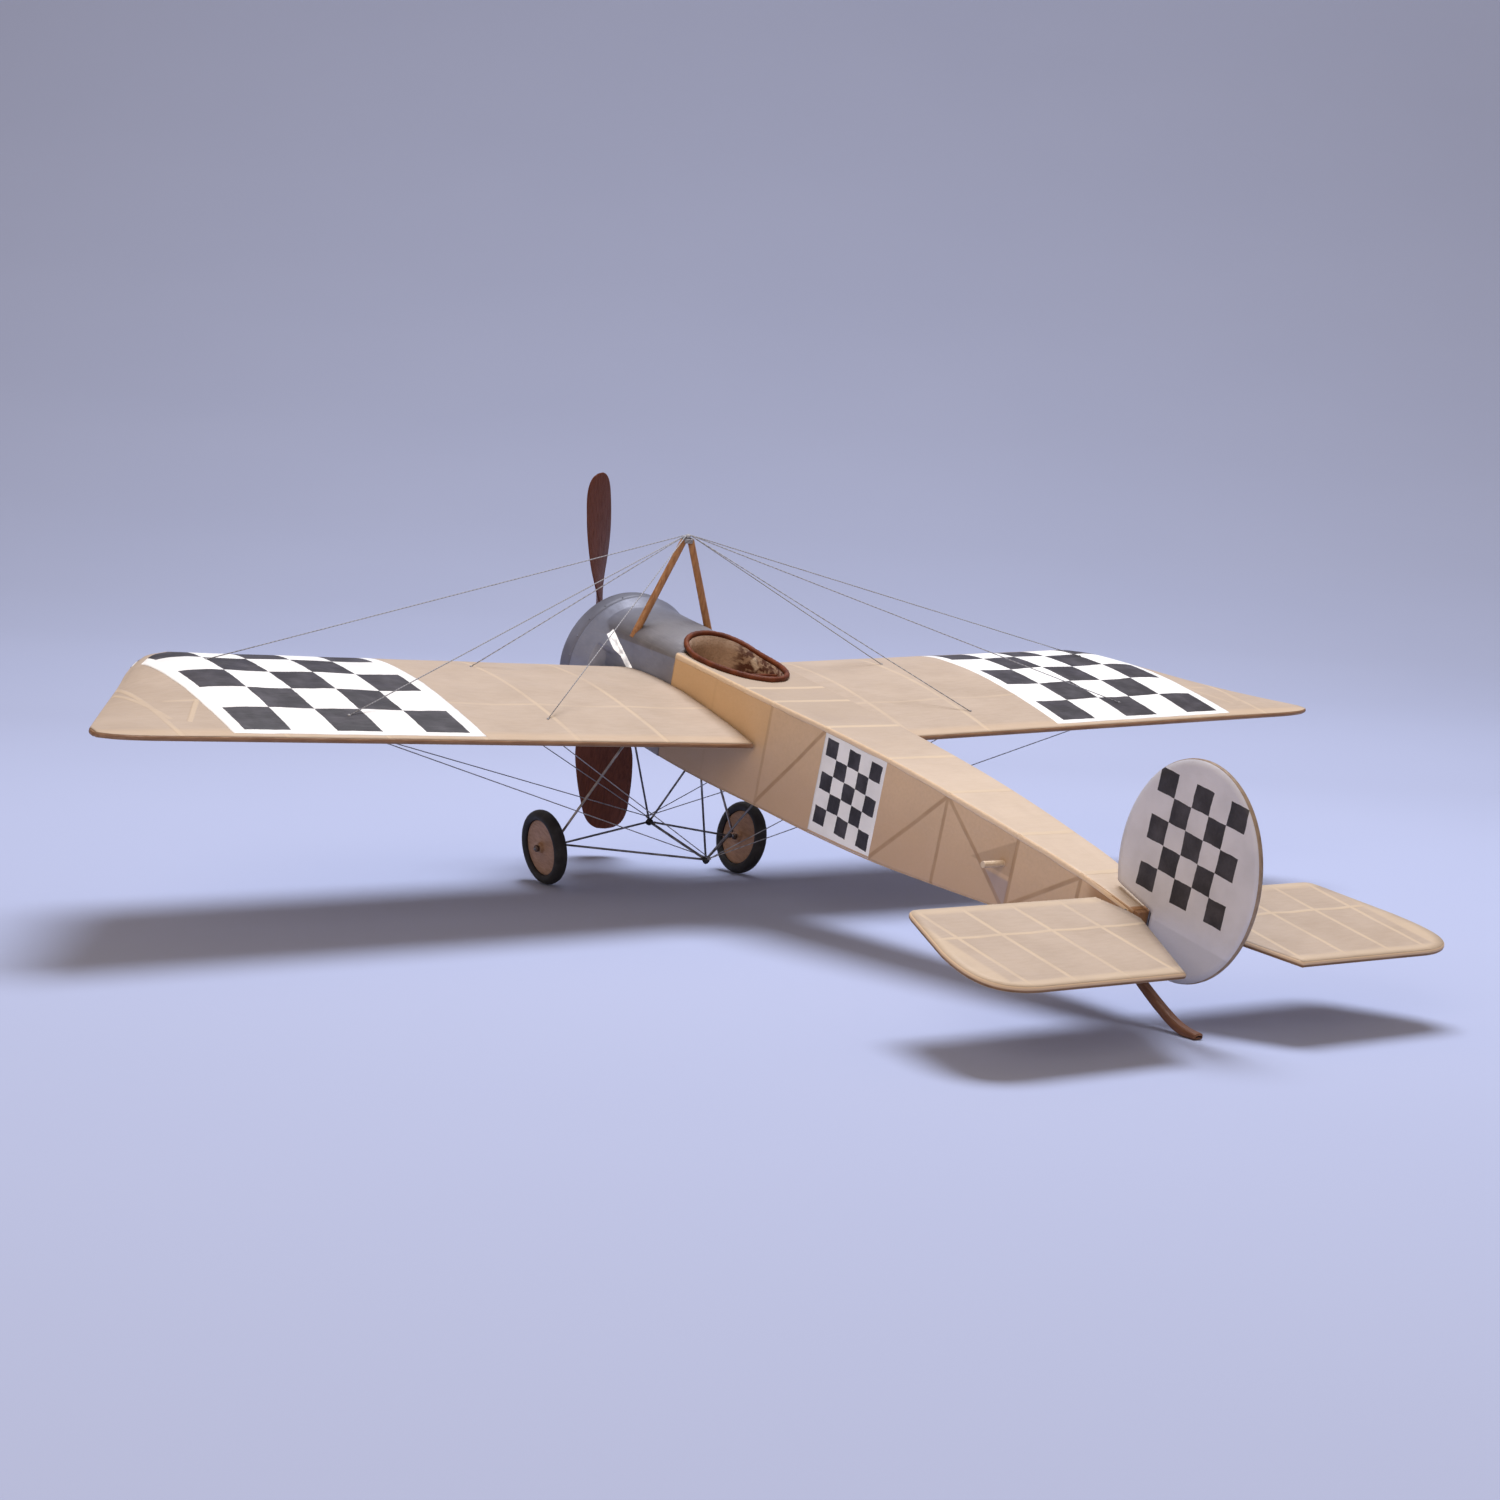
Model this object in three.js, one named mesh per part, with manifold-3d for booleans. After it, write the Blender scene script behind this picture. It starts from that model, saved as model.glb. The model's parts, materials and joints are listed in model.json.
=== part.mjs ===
// Rubber-powered stick-and-tissue monoplane with a 762 mm (30 in) wingspan.
// Millimetres. +Z up, nose towards -Y, the pilot's left wing towards +X.
// The plane stands on its two wheels and tail skid, so the airframe is pitched
// nose-up inside the exported group. All sizes below are in airframe axes, whose
// origin is level with the wing roots' leading edge.
import * as THREE from "three";
import { mergeVertices } from "three/addons/utils/BufferGeometryUtils.js";
import Module from "manifold-3d";

const wasm = await Module();
wasm.setup();

// ---- driving dimensions -------------------------------------------------
const SIT_ANGLE = 0.219; // nose-up angle on the ground, radians
const GAP = 0.3; // clearance between pieces that touch
const SKIN = 0.4; // tissue and dope

const wing = {
  rootX: 26.8, tipX: 381, chord: 145, teHeight: 2.5, teThick: 2.2,
  dihedral: 0.034, incidence: 0.092, camber: 0.091, undercamber: 1.5,
  ribPitch: 52.4, ribs: 7, ribThick: 1.6, sparY: 42, rearSparY: 99.5, sparWide: 3,
  lePiece: 5, tePiece: 5, tipBow: 6,
};
// Upper surface height over the chord line, as a share of the full camber.
const CREST = [
  [0, 0.3], [0.03, 0.58], [0.1, 0.82], [0.2, 0.97], [0.35, 0.99],
  [0.5, 0.9], [0.65, 0.7], [0.8, 0.44], [0.9, 0.24], [1, 0],
];
// Leading edge along the raked tip: x, y.
const TIP_LE = [
  [0, 0], [292, 0], [304, 8], [320, 31], [335, 57], [347, 77], [360, 98.5], [371, 117], [381, 134],
];
// Trailing edge: x, y. The corner is rounded.
const TIP_TE = [[0, 145], [355, 145], [365, 144.2], [373, 142.6], [381, 138.6]];
const WING_STATIONS = [26.8, 288, 304, 320, 335, 347, 360, 371, 381];

// Fuselage: y, half width, top height, bottom height.
const FUSELAGE = [
  [-4, 26, 24.0, -33], [63, 26, 25.2, -33], [103, 25.9, 26.4, -31.5], [152, 24.7, 28.1, -28.3],
  [196, 23, 29.8, -26], [245, 21.1, 30.9, -22], [291, 19.6, 30.4, -16], [341, 16.8, 28.4, -9],
  [382, 13.4, 25.4, -3], [414, 6.4, 18.8, 2.5],
];
const skin = { frontY: 63.6, rearY: 411.6 };
const frame = { frontY: -2, rearY: 396.6, stick: 2.4, inset: 2.2 };
// Side-frame sticks: y of the lower end, y of the upper end.
const UPRIGHTS = [52, 103, 152, 196, 245, 291, 341, 382];
const DIAGONALS = [[152, 196], [245, 291], [338, 291], [341, 382]];
const CROSS_FRAMES = [128, 196, 291, 382];
// Rail of the side frames under the rounded metal deck: y, height.
const NOSE_RAIL = [[-2, 14.5], [63, 18.4], [103, 24.2]];
// Arched deck behind the cowl: y, height of its shoulders, height of its crown.
const DECK = [[-6, 17.4, 29], [63, 21, 31]];
const deck = { rearY: 63, wall: 0.8 };

const thrust = { z: -11.9, propY: -44.9 };
const cowl = { z: -8, radius: 40.5, frontY: -26, rearY: -15, lip: 33, wall: 0.8 };
const fairing = { frontY: -14.6, frontR: 40.3, rearY: 40, rearR: 24 };
const prop = { radius: 108.5, pitch: 333, hubR: 6, hubLong: 8, turn: 0.212, chord: 33.5 };
const peg = { y: 334.5, z: 11.5, radius: 1.6, half: 29.5 };
const cockpit = { frontY: 50, wideY: 78, half: 21.4, tipY: 117, floorZ: 1.2, rimR: 1.5 };

const kingpost = { footX: 25.4, footY: 19.4, footZ: 19.6, apexX: 2.2, apexY: 17.9, apexZ: 74.6, radius: 2 };
const wheel = { x: 65.7, y: 29, z: -96.8, radius: 20.6, tyreR: 3, half: 3, bore: 0.95, camber: 0.14 };
const gear = { wire: 0.65, apexA: [0, 29.4, -84.5], apexB: [0, 87.3, -84.5], footX: 24.4, footZ: -33.7 };
const FEET = { strut: 32.6, front: 36, rear: 103 };

const rudder = { y: 431.5, z: 45, ry: 42.75, rz: 50, thick: 2.4, hingeY: 415.4, swing: 25.6 };
const elevator = { z: 17.6, thick: 2.6, frontY: 394, rearY: 476.5, pivotY: 408, wire: 0.75 };

// Thread anchors on the wings: x, y.
const LOWER_FRONT = [[135, 38], [284, 40]];
const LOWER_REAR = [[136, 119.5], [246, 119.5]];
const UPPER_ANCHORS = [...LOWER_FRONT, ...LOWER_REAR];
const THREAD = 0.28;

// ---- finishes -----------------------------------------------------------
const finish = (color, roughness, metalness = 0) =>
  new THREE.MeshStandardMaterial({ color, roughness, metalness });
const TISSUE = finish(0xcdb285, 0.75);
const WHITE = finish(0xe6e4e2, 0.7);
const BALSA = finish(0xc79a5c, 0.7);
const DARK_WOOD = finish(0x7a3b1e, 0.5);
const PROP_WOOD = finish(0x6b2f22, 0.4);
const TIN = finish(0x9aa0a6, 0.35, 0.9);
const STEEL = finish(0x4a4b50, 0.4, 0.9);
const BRASS = finish(0xb08d4a, 0.35, 0.9);
const TYRE = finish(0x1b1b1d, 0.8);
const LEATHER = finish(0x6e3420, 0.6);
const RUBBER = finish(0xb89a6a, 0.8);
const THREAD_GREY = finish(0x6d6f78, 0.8);

// ---- geometry helpers ---------------------------------------------------
const v3 = (x, y, z) => new THREE.Vector3(x, y, z);

// Straight-line lookup in a table whose first column rises.
function along(table, at, column = 1) {
  if (at <= table[0][0]) return table[0][column];
  for (let i = 1; i < table.length; i++) {
    const [low, high] = [table[i - 1], table[i]];
    if (at <= high[0]) {
      const part = (at - low[0]) / (high[0] - low[0]);
      return low[column] + part * (high[column] - low[column]);
    }
  }
  return table[table.length - 1][column];
}
const halfAt = (y) => along(FUSELAGE, y, 1);
const topAt = (y) => along(FUSELAGE, y, 2);
const bottomAt = (y) => along(FUSELAGE, y, 3);

// A closed body through rings of equally many points, each ring counter-clockwise
// as seen from the last ring looking back to the first.
function loft(rings, closed = false) {
  const count = rings[0].length;
  const index = [];
  const last = closed ? rings.length : rings.length - 1;
  for (let i = 0; i < last; i++) {
    const [a, b] = [i * count, ((i + 1) % rings.length) * count];
    for (let j = 0; j < count; j++) {
      const k = (j + 1) % count;
      index.push(a + j, a + k, b + j, a + k, b + k, b + j);
    }
  }
  if (!closed) {
    const end = (rings.length - 1) * count;
    for (const [x, y, z] of capOf(rings[0])) index.push(z, y, x);
    for (const [x, y, z] of capOf(rings[rings.length - 1])) index.push(end + x, end + y, end + z);
  }
  const geometry = new THREE.BufferGeometry();
  const numbers = rings.flat().flatMap((p) => [p.x, p.y, p.z]);
  geometry.setAttribute("position", new THREE.Float32BufferAttribute(numbers, 3));
  geometry.setIndex(index);
  return geometry;
}

// Triangles of a flat ring, found in the two axes where the ring is widest.
function capOf(ring) {
  const size = new THREE.Box3().setFromPoints(ring).getSize(v3(0, 0, 0));
  const flat = size.x <= size.y && size.x <= size.z ? "x" : size.y <= size.z ? "y" : "z";
  const [u, w] = { x: ["y", "z"], y: ["z", "x"], z: ["x", "y"] }[flat];
  const outline = ring.map((p) => new THREE.Vector2(p[u], p[w]));
  const turned = THREE.ShapeUtils.isClockWise(outline);
  const order = turned ? outline.map((_, i) => ring.length - 1 - i) : outline.map((_, i) => i);
  const faces = THREE.ShapeUtils.triangulateShape(order.map((i) => outline[i]), []);
  return faces.map((f) => (turned ? [f[2], f[1], f[0]] : f).map((i) => order[i]));
}

// A solid for cutting and joining, turned right side out if its rings ran the other way.
function solid(geometry) {
  const copy = geometry.clone();
  copy.deleteAttribute("normal");
  copy.deleteAttribute("uv");
  const merged = mergeVertices(copy, 1e-4);
  const build = (flip) => {
    const tris = Uint32Array.from(merged.index.array);
    if (flip) for (let i = 0; i < tris.length; i += 3) [tris[i], tris[i + 1]] = [tris[i + 1], tris[i]];
    const mesh = { numProp: 3, vertProperties: merged.attributes.position.array, triVerts: tris };
    return new wasm.Manifold(new wasm.Mesh(mesh));
  };
  const first = build(false);
  return first.volume() < 0 ? build(true) : first;
}

function geometryOf(body) {
  const mesh = body.getMesh();
  const geometry = new THREE.BufferGeometry();
  geometry.setAttribute("position", new THREE.BufferAttribute(mesh.vertProperties, 3));
  geometry.setIndex(new THREE.BufferAttribute(mesh.triVerts, 1));
  return geometry;
}

const join = (bodies) => bodies.reduce((sum, body) => sum.add(body));

function mirrored(body) {
  const geometry = geometryOf(body);
  geometry.scale(-1, 1, 1);
  return solid(geometry);
}

function box(x0, x1, y0, y1, z0, z1) {
  const geometry = new THREE.BoxGeometry(x1 - x0, y1 - y0, z1 - z0);
  geometry.translate((x0 + x1) / 2, (y0 + y1) / 2, (z0 + z1) / 2);
  return solid(geometry);
}

// A straight piece from a to b, whose Y axis is turned onto that line.
function between(geometry, a, b) {
  const [from, to] = [v3(...a), v3(...b)];
  const way = to.clone().sub(from).normalize();
  geometry.applyQuaternion(new THREE.Quaternion().setFromUnitVectors(v3(0, 1, 0), way));
  geometry.translate(...from.add(to).multiplyScalar(0.5).toArray());
  return solid(geometry);
}
const distance = (a, b) => v3(...a).distanceTo(v3(...b));
const rod = (a, b, radius, sides = 6) =>
  between(new THREE.CylinderGeometry(radius, radius, distance(a, b), sides), a, b);

function ball(at, radius) {
  const geometry = new THREE.OctahedronGeometry(radius, 1);
  geometry.translate(...at);
  return solid(geometry);
}

// A turned body about the Y axis through z: profile points are radius, y.
function turned(profile, z, sides = 32) {
  const points = profile.map(([r, y]) => new THREE.Vector2(r, y));
  const geometry = new THREE.LatheGeometry(points, sides);
  geometry.translate(0, 0, z);
  return solid(geometry);
}

// A plan outline (x, y) made into a slab between two heights.
function slab(shape, z0, z1, curveSegments = 8) {
  const options = { depth: z1 - z0, bevelEnabled: false, curveSegments };
  const geometry = new THREE.ExtrudeGeometry(shape, options);
  geometry.translate(0, 0, z0);
  return solid(geometry);
}

// A side outline (y, z) made into a plate between two x.
function plate(shape, x0, x1, curveSegments = 8) {
  const options = { depth: x1 - x0, bevelEnabled: false, curveSegments };
  const geometry = new THREE.ExtrudeGeometry(shape, options);
  const axes = new THREE.Matrix4().makeBasis(v3(0, 1, 0), v3(0, 0, 1), v3(1, 0, 0));
  geometry.applyMatrix4(axes);
  geometry.translate(x0, 0, 0);
  return solid(geometry);
}
const outline = (points) => new THREE.Shape(points.map(([x, y]) => new THREE.Vector2(x, y)));

const plane = new THREE.Group();
plane.rotation.x = -SIT_ANGLE;

function piece(name, body, material) {
  const mesh = new THREE.Mesh(geometryOf(body), material);
  mesh.name = name;
  plane.add(mesh);
}
function pair(name, body, material) {
  piece(name + "_left", body, material);
  piece(name + "_right", mirrored(body), material);
}
// Cutting a thin edge can leave specks, so the biggest part is the piece.
function largest(body) {
  return body.decompose().sort((a, b) => b.volume() - a.volume())[0];
}
function mainPair(name, body, material) {
  pair(name, largest(body), material);
}

// ---- wings --------------------------------------------------------------
function wingSection(x, inset) {
  const le = along(TIP_LE, x) + inset;
  const te = along(TIP_TE, x) + (inset ? 1 : 0);
  const thin = 1 - 0.6 * THREE.MathUtils.smoothstep(x, 296, wing.tipX);
  const teZ = wing.teHeight + wing.dihedral * (x - wing.rootX);
  const chordZ = (y) => teZ - wing.incidence * (wing.chord - y);
  const share = (te - le) / wing.chord;
  const top = CREST.map(([u, g]) => {
    const y = le + u * (te - le);
    return v3(x, y, chordZ(y) + wing.camber * wing.chord * g * share * thin - inset);
  });
  const bottom = [0.95, 0.7, 0.4, 0.12, 0.02].map((u) => {
    const y = le + u * (te - le);
    const nose = u < 0.05 ? share : 0;
    const lift = wing.undercamber * Math.sin(Math.PI * u) * share + nose;
    return v3(x, y, chordZ(y) - wing.teThick + lift + inset);
  });
  const tail = v3(x, te, chordZ(te) - wing.teThick + inset);
  return [...top, tail, ...bottom];
}

function wingBody(inset = 0) {
  const stations = inset ? [wing.rootX - 5, ...WING_STATIONS.slice(1)] : WING_STATIONS;
  return solid(loft(stations.map((x) => wingSection(x, inset))));
}

// Plan outline inside the trailing edge and the tip bow.
function wingPlan(margin) {
  const tip = TIP_LE.filter(([x]) => x >= 292).map(([x, y]) => [x - wing.tipBow - margin, y]);
  const rear = wing.chord - wing.tePiece - margin;
  const end = tip[tip.length - 1][0] + (rear - tip[tip.length - 1][1]) * 0.5;
  const raked = tip.filter(([, y]) => y < rear - 12);
  return outline([[0, -20], [292 - wing.tipBow - margin, -20], ...raked, [end - 4, rear], [0, rear]]);
}

function buildWing() {
  const whole = wingBody();
  const inner = wingBody(SKIN);
  const core = wingBody(SKIN + GAP);
  const high = 60;
  mainPair("wing_trailing_edge", whole.subtract(slab(wingPlan(0), -high, high)), BALSA);
  const cover = whole.intersect(slab(wingPlan(GAP), -high, high)).subtract(inner);
  mainPair("wing_cover", cover, TISSUE);
  const inside = core.intersect(slab(wingPlan(GAP * 2), -high, high));
  const noseBox = box(wing.rootX + 0.4, wing.tipX, -high, wing.lePiece, -high, high);
  mainPair("wing_leading_edge", inside.intersect(noseBox), BALSA);
  const [front, root] = [wing.lePiece + GAP, wing.rootX + 0.4];
  const body = inside.intersect(box(root, wing.tipX, front, high * 3, -high, high));
  const members = [];
  for (let i = 0; i < wing.ribs; i++) {
    const x = wing.rootX + 0.4 + i * wing.ribPitch;
    members.push(box(x, x + wing.ribThick, 0, wing.chord, -high, high));
  }
  for (const y of [wing.sparY, wing.rearSparY])
    members.push(box(wing.rootX + 0.4, 350, y, y + wing.sparWide, -high, high));
  mainPair("wing_frame", body.intersect(join(members)), BALSA);
}

// ---- fuselage -----------------------------------------------------------
const sideX = (y) => halfAt(y) - frame.inset;
const railTop = (y) => (y < 103 ? along(NOSE_RAIL, y) : topAt(y) - frame.inset);
const railBottom = (y) => bottomAt(y) + frame.inset;

// A bar in the side view from a to b (y, z), wide enough in X to be cut to the side.
const bar = (a, b, size) =>
  between(new THREE.BoxGeometry(80, distance([0, ...a], [0, ...b]), size), [0, ...a], [0, ...b]);

function buildSideFrames() {
  const stations = [frame.frontY, ...FUSELAGE.map((row) => row[0]).slice(1, -1), frame.rearY];
  const parts = [];
  for (const height of [railTop, railBottom]) {
    for (let i = 1; i < stations.length; i++) {
      const [a, b] = [stations[i - 1], stations[i]];
      parts.push(bar([a, height(a)], [b, height(b)], frame.stick));
    }
  }
  for (const y of [frame.frontY + 2, ...UPRIGHTS])
    parts.push(box(-40, 40, y - frame.stick / 2, y + frame.stick / 2, railBottom(y), railTop(y)));
  for (const [low, high] of DIAGONALS)
    parts.push(bar([low, railBottom(low)], [high, railTop(high)], frame.stick));
  parts.push(plate(outline([[341, 25], [341, 7], [313, 7]]), -40, 40));
  const slice = stations.map((y) => {
    const [inner, outer] = [sideX(y) - frame.stick / 2, sideX(y) + frame.stick / 2];
    return [v3(inner, y, -60), v3(outer, y, -60), v3(outer, y, 60), v3(inner, y, 60)];
  });
  const hole = rod([-40, peg.y, peg.z], [40, peg.y, peg.z], peg.radius + GAP, 10);
  pair("fuselage_frame", join(parts).intersect(solid(loft(slice))).subtract(hole), BALSA);
}

function buildCrossFrames() {
  CROSS_FRAMES.forEach((y, i) => {
    const x = halfAt(y) - frame.inset - frame.stick / 2 - GAP * 3;
    const [low, high, bar] = [bottomAt(y) + 1.2, topAt(y) - 1.2, 2.6];
    const ring = box(-x, x, y - 1.2, y + 1.2, low, high);
    const hollow = box(bar - x, x - bar, y - 3, y + 3, low + bar, high - bar);
    piece("cross_frame_" + (i + 1), ring.subtract(hollow), BALSA);
  });
}

// The fuselage's outer form, from the nose fairing's flat sides to the sternpost.
function fuselageForm(shrink = 0, y0 = -60, y1 = 420) {
  const stations = [y0, ...FUSELAGE.map((row) => row[0]).filter((y) => y > y0 && y < y1), y1];
  const rings = stations.map((y) => {
    const [x, low, high] = [halfAt(y) - shrink, bottomAt(y) + shrink, topAt(y) - shrink];
    return [v3(-x, y, low), v3(x, y, low), v3(x, y, high), v3(-x, y, high)];
  });
  return solid(loft(rings));
}

// Flat sides and bottom with an arched deck, between two stations.
function deckForm(shrink, y0, y1) {
  const arch = 10;
  const rings = [y0, y1].map((y) => {
    const [x, low] = [halfAt(y) - shrink, bottomAt(y) + shrink];
    const [shoulder, crown] = [along(DECK, y, 1), along(DECK, y, 2)];
    const ring = [v3(-x, y, low), v3(x, y, low)];
    for (let i = 0; i <= arch; i++) {
      const angle = (Math.PI * i) / arch;
      ring.push(v3(x * Math.cos(angle), y, shoulder - shrink + (crown - shoulder) * Math.sin(angle)));
    }
    return ring;
  });
  return solid(loft(rings));
}

function coneForm(shrink, y0, y1) {
  const slope = (fairing.rearR - fairing.frontR) / (fairing.rearY - fairing.frontY);
  const radius = (y) => fairing.frontR + slope * (y - fairing.frontY) - shrink;
  return turned([[0, y0], [radius(y0), y0], [radius(y1), y1], [0, y1]], cowl.z, 32);
}

// Egg-shaped cockpit outline, blunt in front and narrower behind. grow moves it outwards.
function cockpitOutline(grow) {
  const [half, wide] = [cockpit.half + grow, cockpit.wideY];
  const [front, tip] = [cockpit.frontY - grow, cockpit.tipY + grow];
  const shape = new THREE.Shape();
  shape.moveTo(half, wide);
  shape.bezierCurveTo(half, wide + 24, 11 + grow, tip, 0, tip);
  shape.bezierCurveTo(-11 - grow, tip, -half, wide + 24, -half, wide);
  shape.bezierCurveTo(-half, wide - 16, -16 - grow, front, 0, front);
  shape.bezierCurveTo(16 + grow, front, half, wide - 16, half, wide);
  return shape;
}

function buildSkins() {
  const { frontY, rearY } = skin;
  const hollow = fuselageForm(SKIN, frontY - 5, rearY + 5);
  const tube = fuselageForm(0, frontY, rearY).subtract(hollow);
  const corner = fuselageForm(SKIN + GAP, frontY - 5, rearY + 5);
  const edge = 60;
  const below = box(-edge, edge, 0, 500, -edge, 8);
  const top = tube.intersect(stretched(corner, 0, edge));
  const opening = slab(cockpitOutline(0), 10, edge);
  piece("fuselage_cover_top", largest(top.subtract(opening)), TISSUE);
  const bottom = tube.intersect(stretched(corner, 0, -edge)).intersect(below);
  piece("fuselage_cover_bottom", largest(bottom), TISSUE);
  const pegHole = rod([0, peg.y, peg.z], [40, peg.y, peg.z], peg.radius + GAP, 12);
  const wireHole = rod([0, elevator.pivotY, elevator.z], [40, elevator.pivotY, elevator.z], 1.4, 12);
  const side = tube.intersect(stretched(corner, edge, 0));
  pair("fuselage_cover", largest(side.subtract(pegHole).subtract(wireHole)), TISSUE);
}

// The fuselage's inner core stretched one way (x, up or down), so that each skin
// keeps to its own face and the four skins stay clear of each other at the corners.
function stretched(core, x, z) {
  const geometry = geometryOf(core);
  const place = geometry.attributes.position;
  for (let i = 0; i < place.count; i++) {
    if (x > 0) place.setX(i, place.getX(i) > 0 ? x : 0);
    if (z > 0) place.setZ(i, place.getZ(i) > 8 ? z : 10);
    if (z < 0) place.setZ(i, place.getZ(i) < 8 ? z : 8);
  }
  return solid(geometry);
}

function buildFuselage() {
  buildSideFrames();
  buildCrossFrames();
  buildSkins();
  const rearBlock = fuselageForm(SKIN + GAP, frame.rearY + GAP + 1.2, skin.rearY);
  const wireHole = rod([-40, elevator.pivotY, elevator.z], [40, elevator.pivotY, elevator.z], 1.4, 12);
  piece("tail_block", rearBlock.subtract(wireHole), BALSA);
  piece("sternpost", fuselageForm(0, skin.rearY + GAP, 413.9), DARK_WOOD);
  const plug = rod([0, -12, thrust.z], [0, 0, thrust.z], 10.4, 24);
  const wall = turned([[0, -9.5], [36.6, -9.5], [36.6, -7.5], [0, -7.5]], cowl.z, 32);
  piece("firewall", wall.subtract(plug), BALSA);
  piece("motor_peg", rod([-peg.half, peg.y, peg.z], [peg.half, peg.y, peg.z], peg.radius, 12), BALSA);
}

function buildNose() {
  const [f, r, wall] = [cowl.frontY, cowl.radius, cowl.wall];
  const lip = [[cowl.lip, f - 3.2], [r - 4.5, f - 3], [r - 1.6, f - 1.2], [r, f + 2.5]];
  const inside = [[r - wall, f + 2.8], [r - 2.2, f - 0.4], [r - 4.8, f - 2.2], [cowl.lip, f - 2.4]];
  const ring = [...lip, [r, cowl.rearY], [r - wall, cowl.rearY], ...inside, lip[0]];
  piece("cowl", turned(ring, cowl.z, 36), TIN);

  const outer = coneForm(0, fairing.frontY, fairing.rearY).add(deckForm(0, -6, deck.rearY));
  const hollow = coneForm(deck.wall, fairing.frontY - 1, fairing.rearY - 1)
    .add(deckForm(deck.wall, -8, deck.rearY + 5));
  const wingSlot = box(26.4, 60, -1.6, 60, -18, 8.5);
  const shell = outer
    .subtract(hollow)
    .subtract(wingSlot)
    .subtract(mirrored(wingSlot))
    .subtract(slab(cockpitOutline(0), 10, 60))
    .subtract(kingpostLeg(GAP))
    .subtract(mirrored(kingpostLeg(GAP)));
  piece("nose_fairing", largest(shell), TIN);
}

function buildCockpit() {
  const form = fuselageForm(0.1, -6, 200).add(deckForm(0.1, -6, deck.rearY - 0.1));
  const outer = slab(cockpitOutline(-0.5), cockpit.floorZ, 60);
  const inner = slab(cockpitOutline(-1.5), cockpit.floorZ + 1, 70);
  piece("cockpit_tub", largest(outer.subtract(inner).intersect(form)), LEATHER);

  const path = cockpitOutline(0.6).getSpacedPoints(32).slice(0, -1);
  const heightAt = (x, y) => {
    const rise = along(DECK, y, 2) - along(DECK, y, 1);
    const arch = along(DECK, y, 1) + rise * Math.sqrt(Math.max(0, 1 - (x / halfAt(y)) ** 2));
    const share = 1 - THREE.MathUtils.smoothstep(y, 60, 68);
    const rest = THREE.MathUtils.lerp(topAt(y), Math.max(arch, topAt(y)), share);
    return rest + cockpit.rimR + GAP + 0.9 * share;
  };
  const centres = path.map((p) => v3(p.x, p.y, heightAt(p.x, p.y)));
  const rings = centres.map((centre, i) => {
    const after = centres[(i + 1) % centres.length];
    const before = centres[(i + centres.length - 1) % centres.length];
    const way = after.clone().sub(before).normalize();
    const side = way.clone().cross(v3(0, 0, 1)).normalize();
    const up = side.clone().cross(way).normalize();
    return Array.from({ length: 6 }, (_, k) => {
      const angle = (k * Math.PI) / 3;
      return centre
        .clone()
        .addScaledVector(side, cockpit.rimR * Math.cos(angle))
        .addScaledVector(up, cockpit.rimR * Math.sin(angle));
    });
  });
  piece("cockpit_rim", solid(loft(rings, true)), LEATHER);
}

// ---- power --------------------------------------------------------------
function bladeRings() {
  const stations = [0.03, 0.12, 0.25, 0.35, 0.45, 0.55, 0.65, 0.75, 0.83, 0.9, 0.95, 0.98, 1];
  const widths = [[0, 0.3], [0.12, 0.34], [0.25, 0.5], [0.35, 0.68], [0.45, 0.9], [0.55, 1], [0.65, 0.98],
    [0.75, 0.92], [0.83, 0.84], [0.9, 0.76], [0.95, 0.63], [0.98, 0.48], [1, 0.14]];
  const section = [[0.5, 0], [0.3, 0.45], [0, 0.6], [-0.3, 0.42], [-0.5, 0], [-0.25, -0.2], [0.2, -0.25]];
  return stations.map((u) => {
    const r = u * prop.radius;
    const chord = along(widths, u) * prop.chord;
    const thick = THREE.MathUtils.lerp(6.5, 1.6, Math.min(1, u * 1.3));
    const angle = Math.atan(prop.pitch / (2 * Math.PI * Math.max(r, 22)));
    return section.map(([c, t]) => {
      const [across, back] = [c * chord, -t * thick];
      const x = across * Math.cos(angle) - back * Math.sin(angle);
      const y = across * Math.sin(angle) + back * Math.cos(angle);
      return v3(x, y, r);
    });
  });
}

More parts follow.
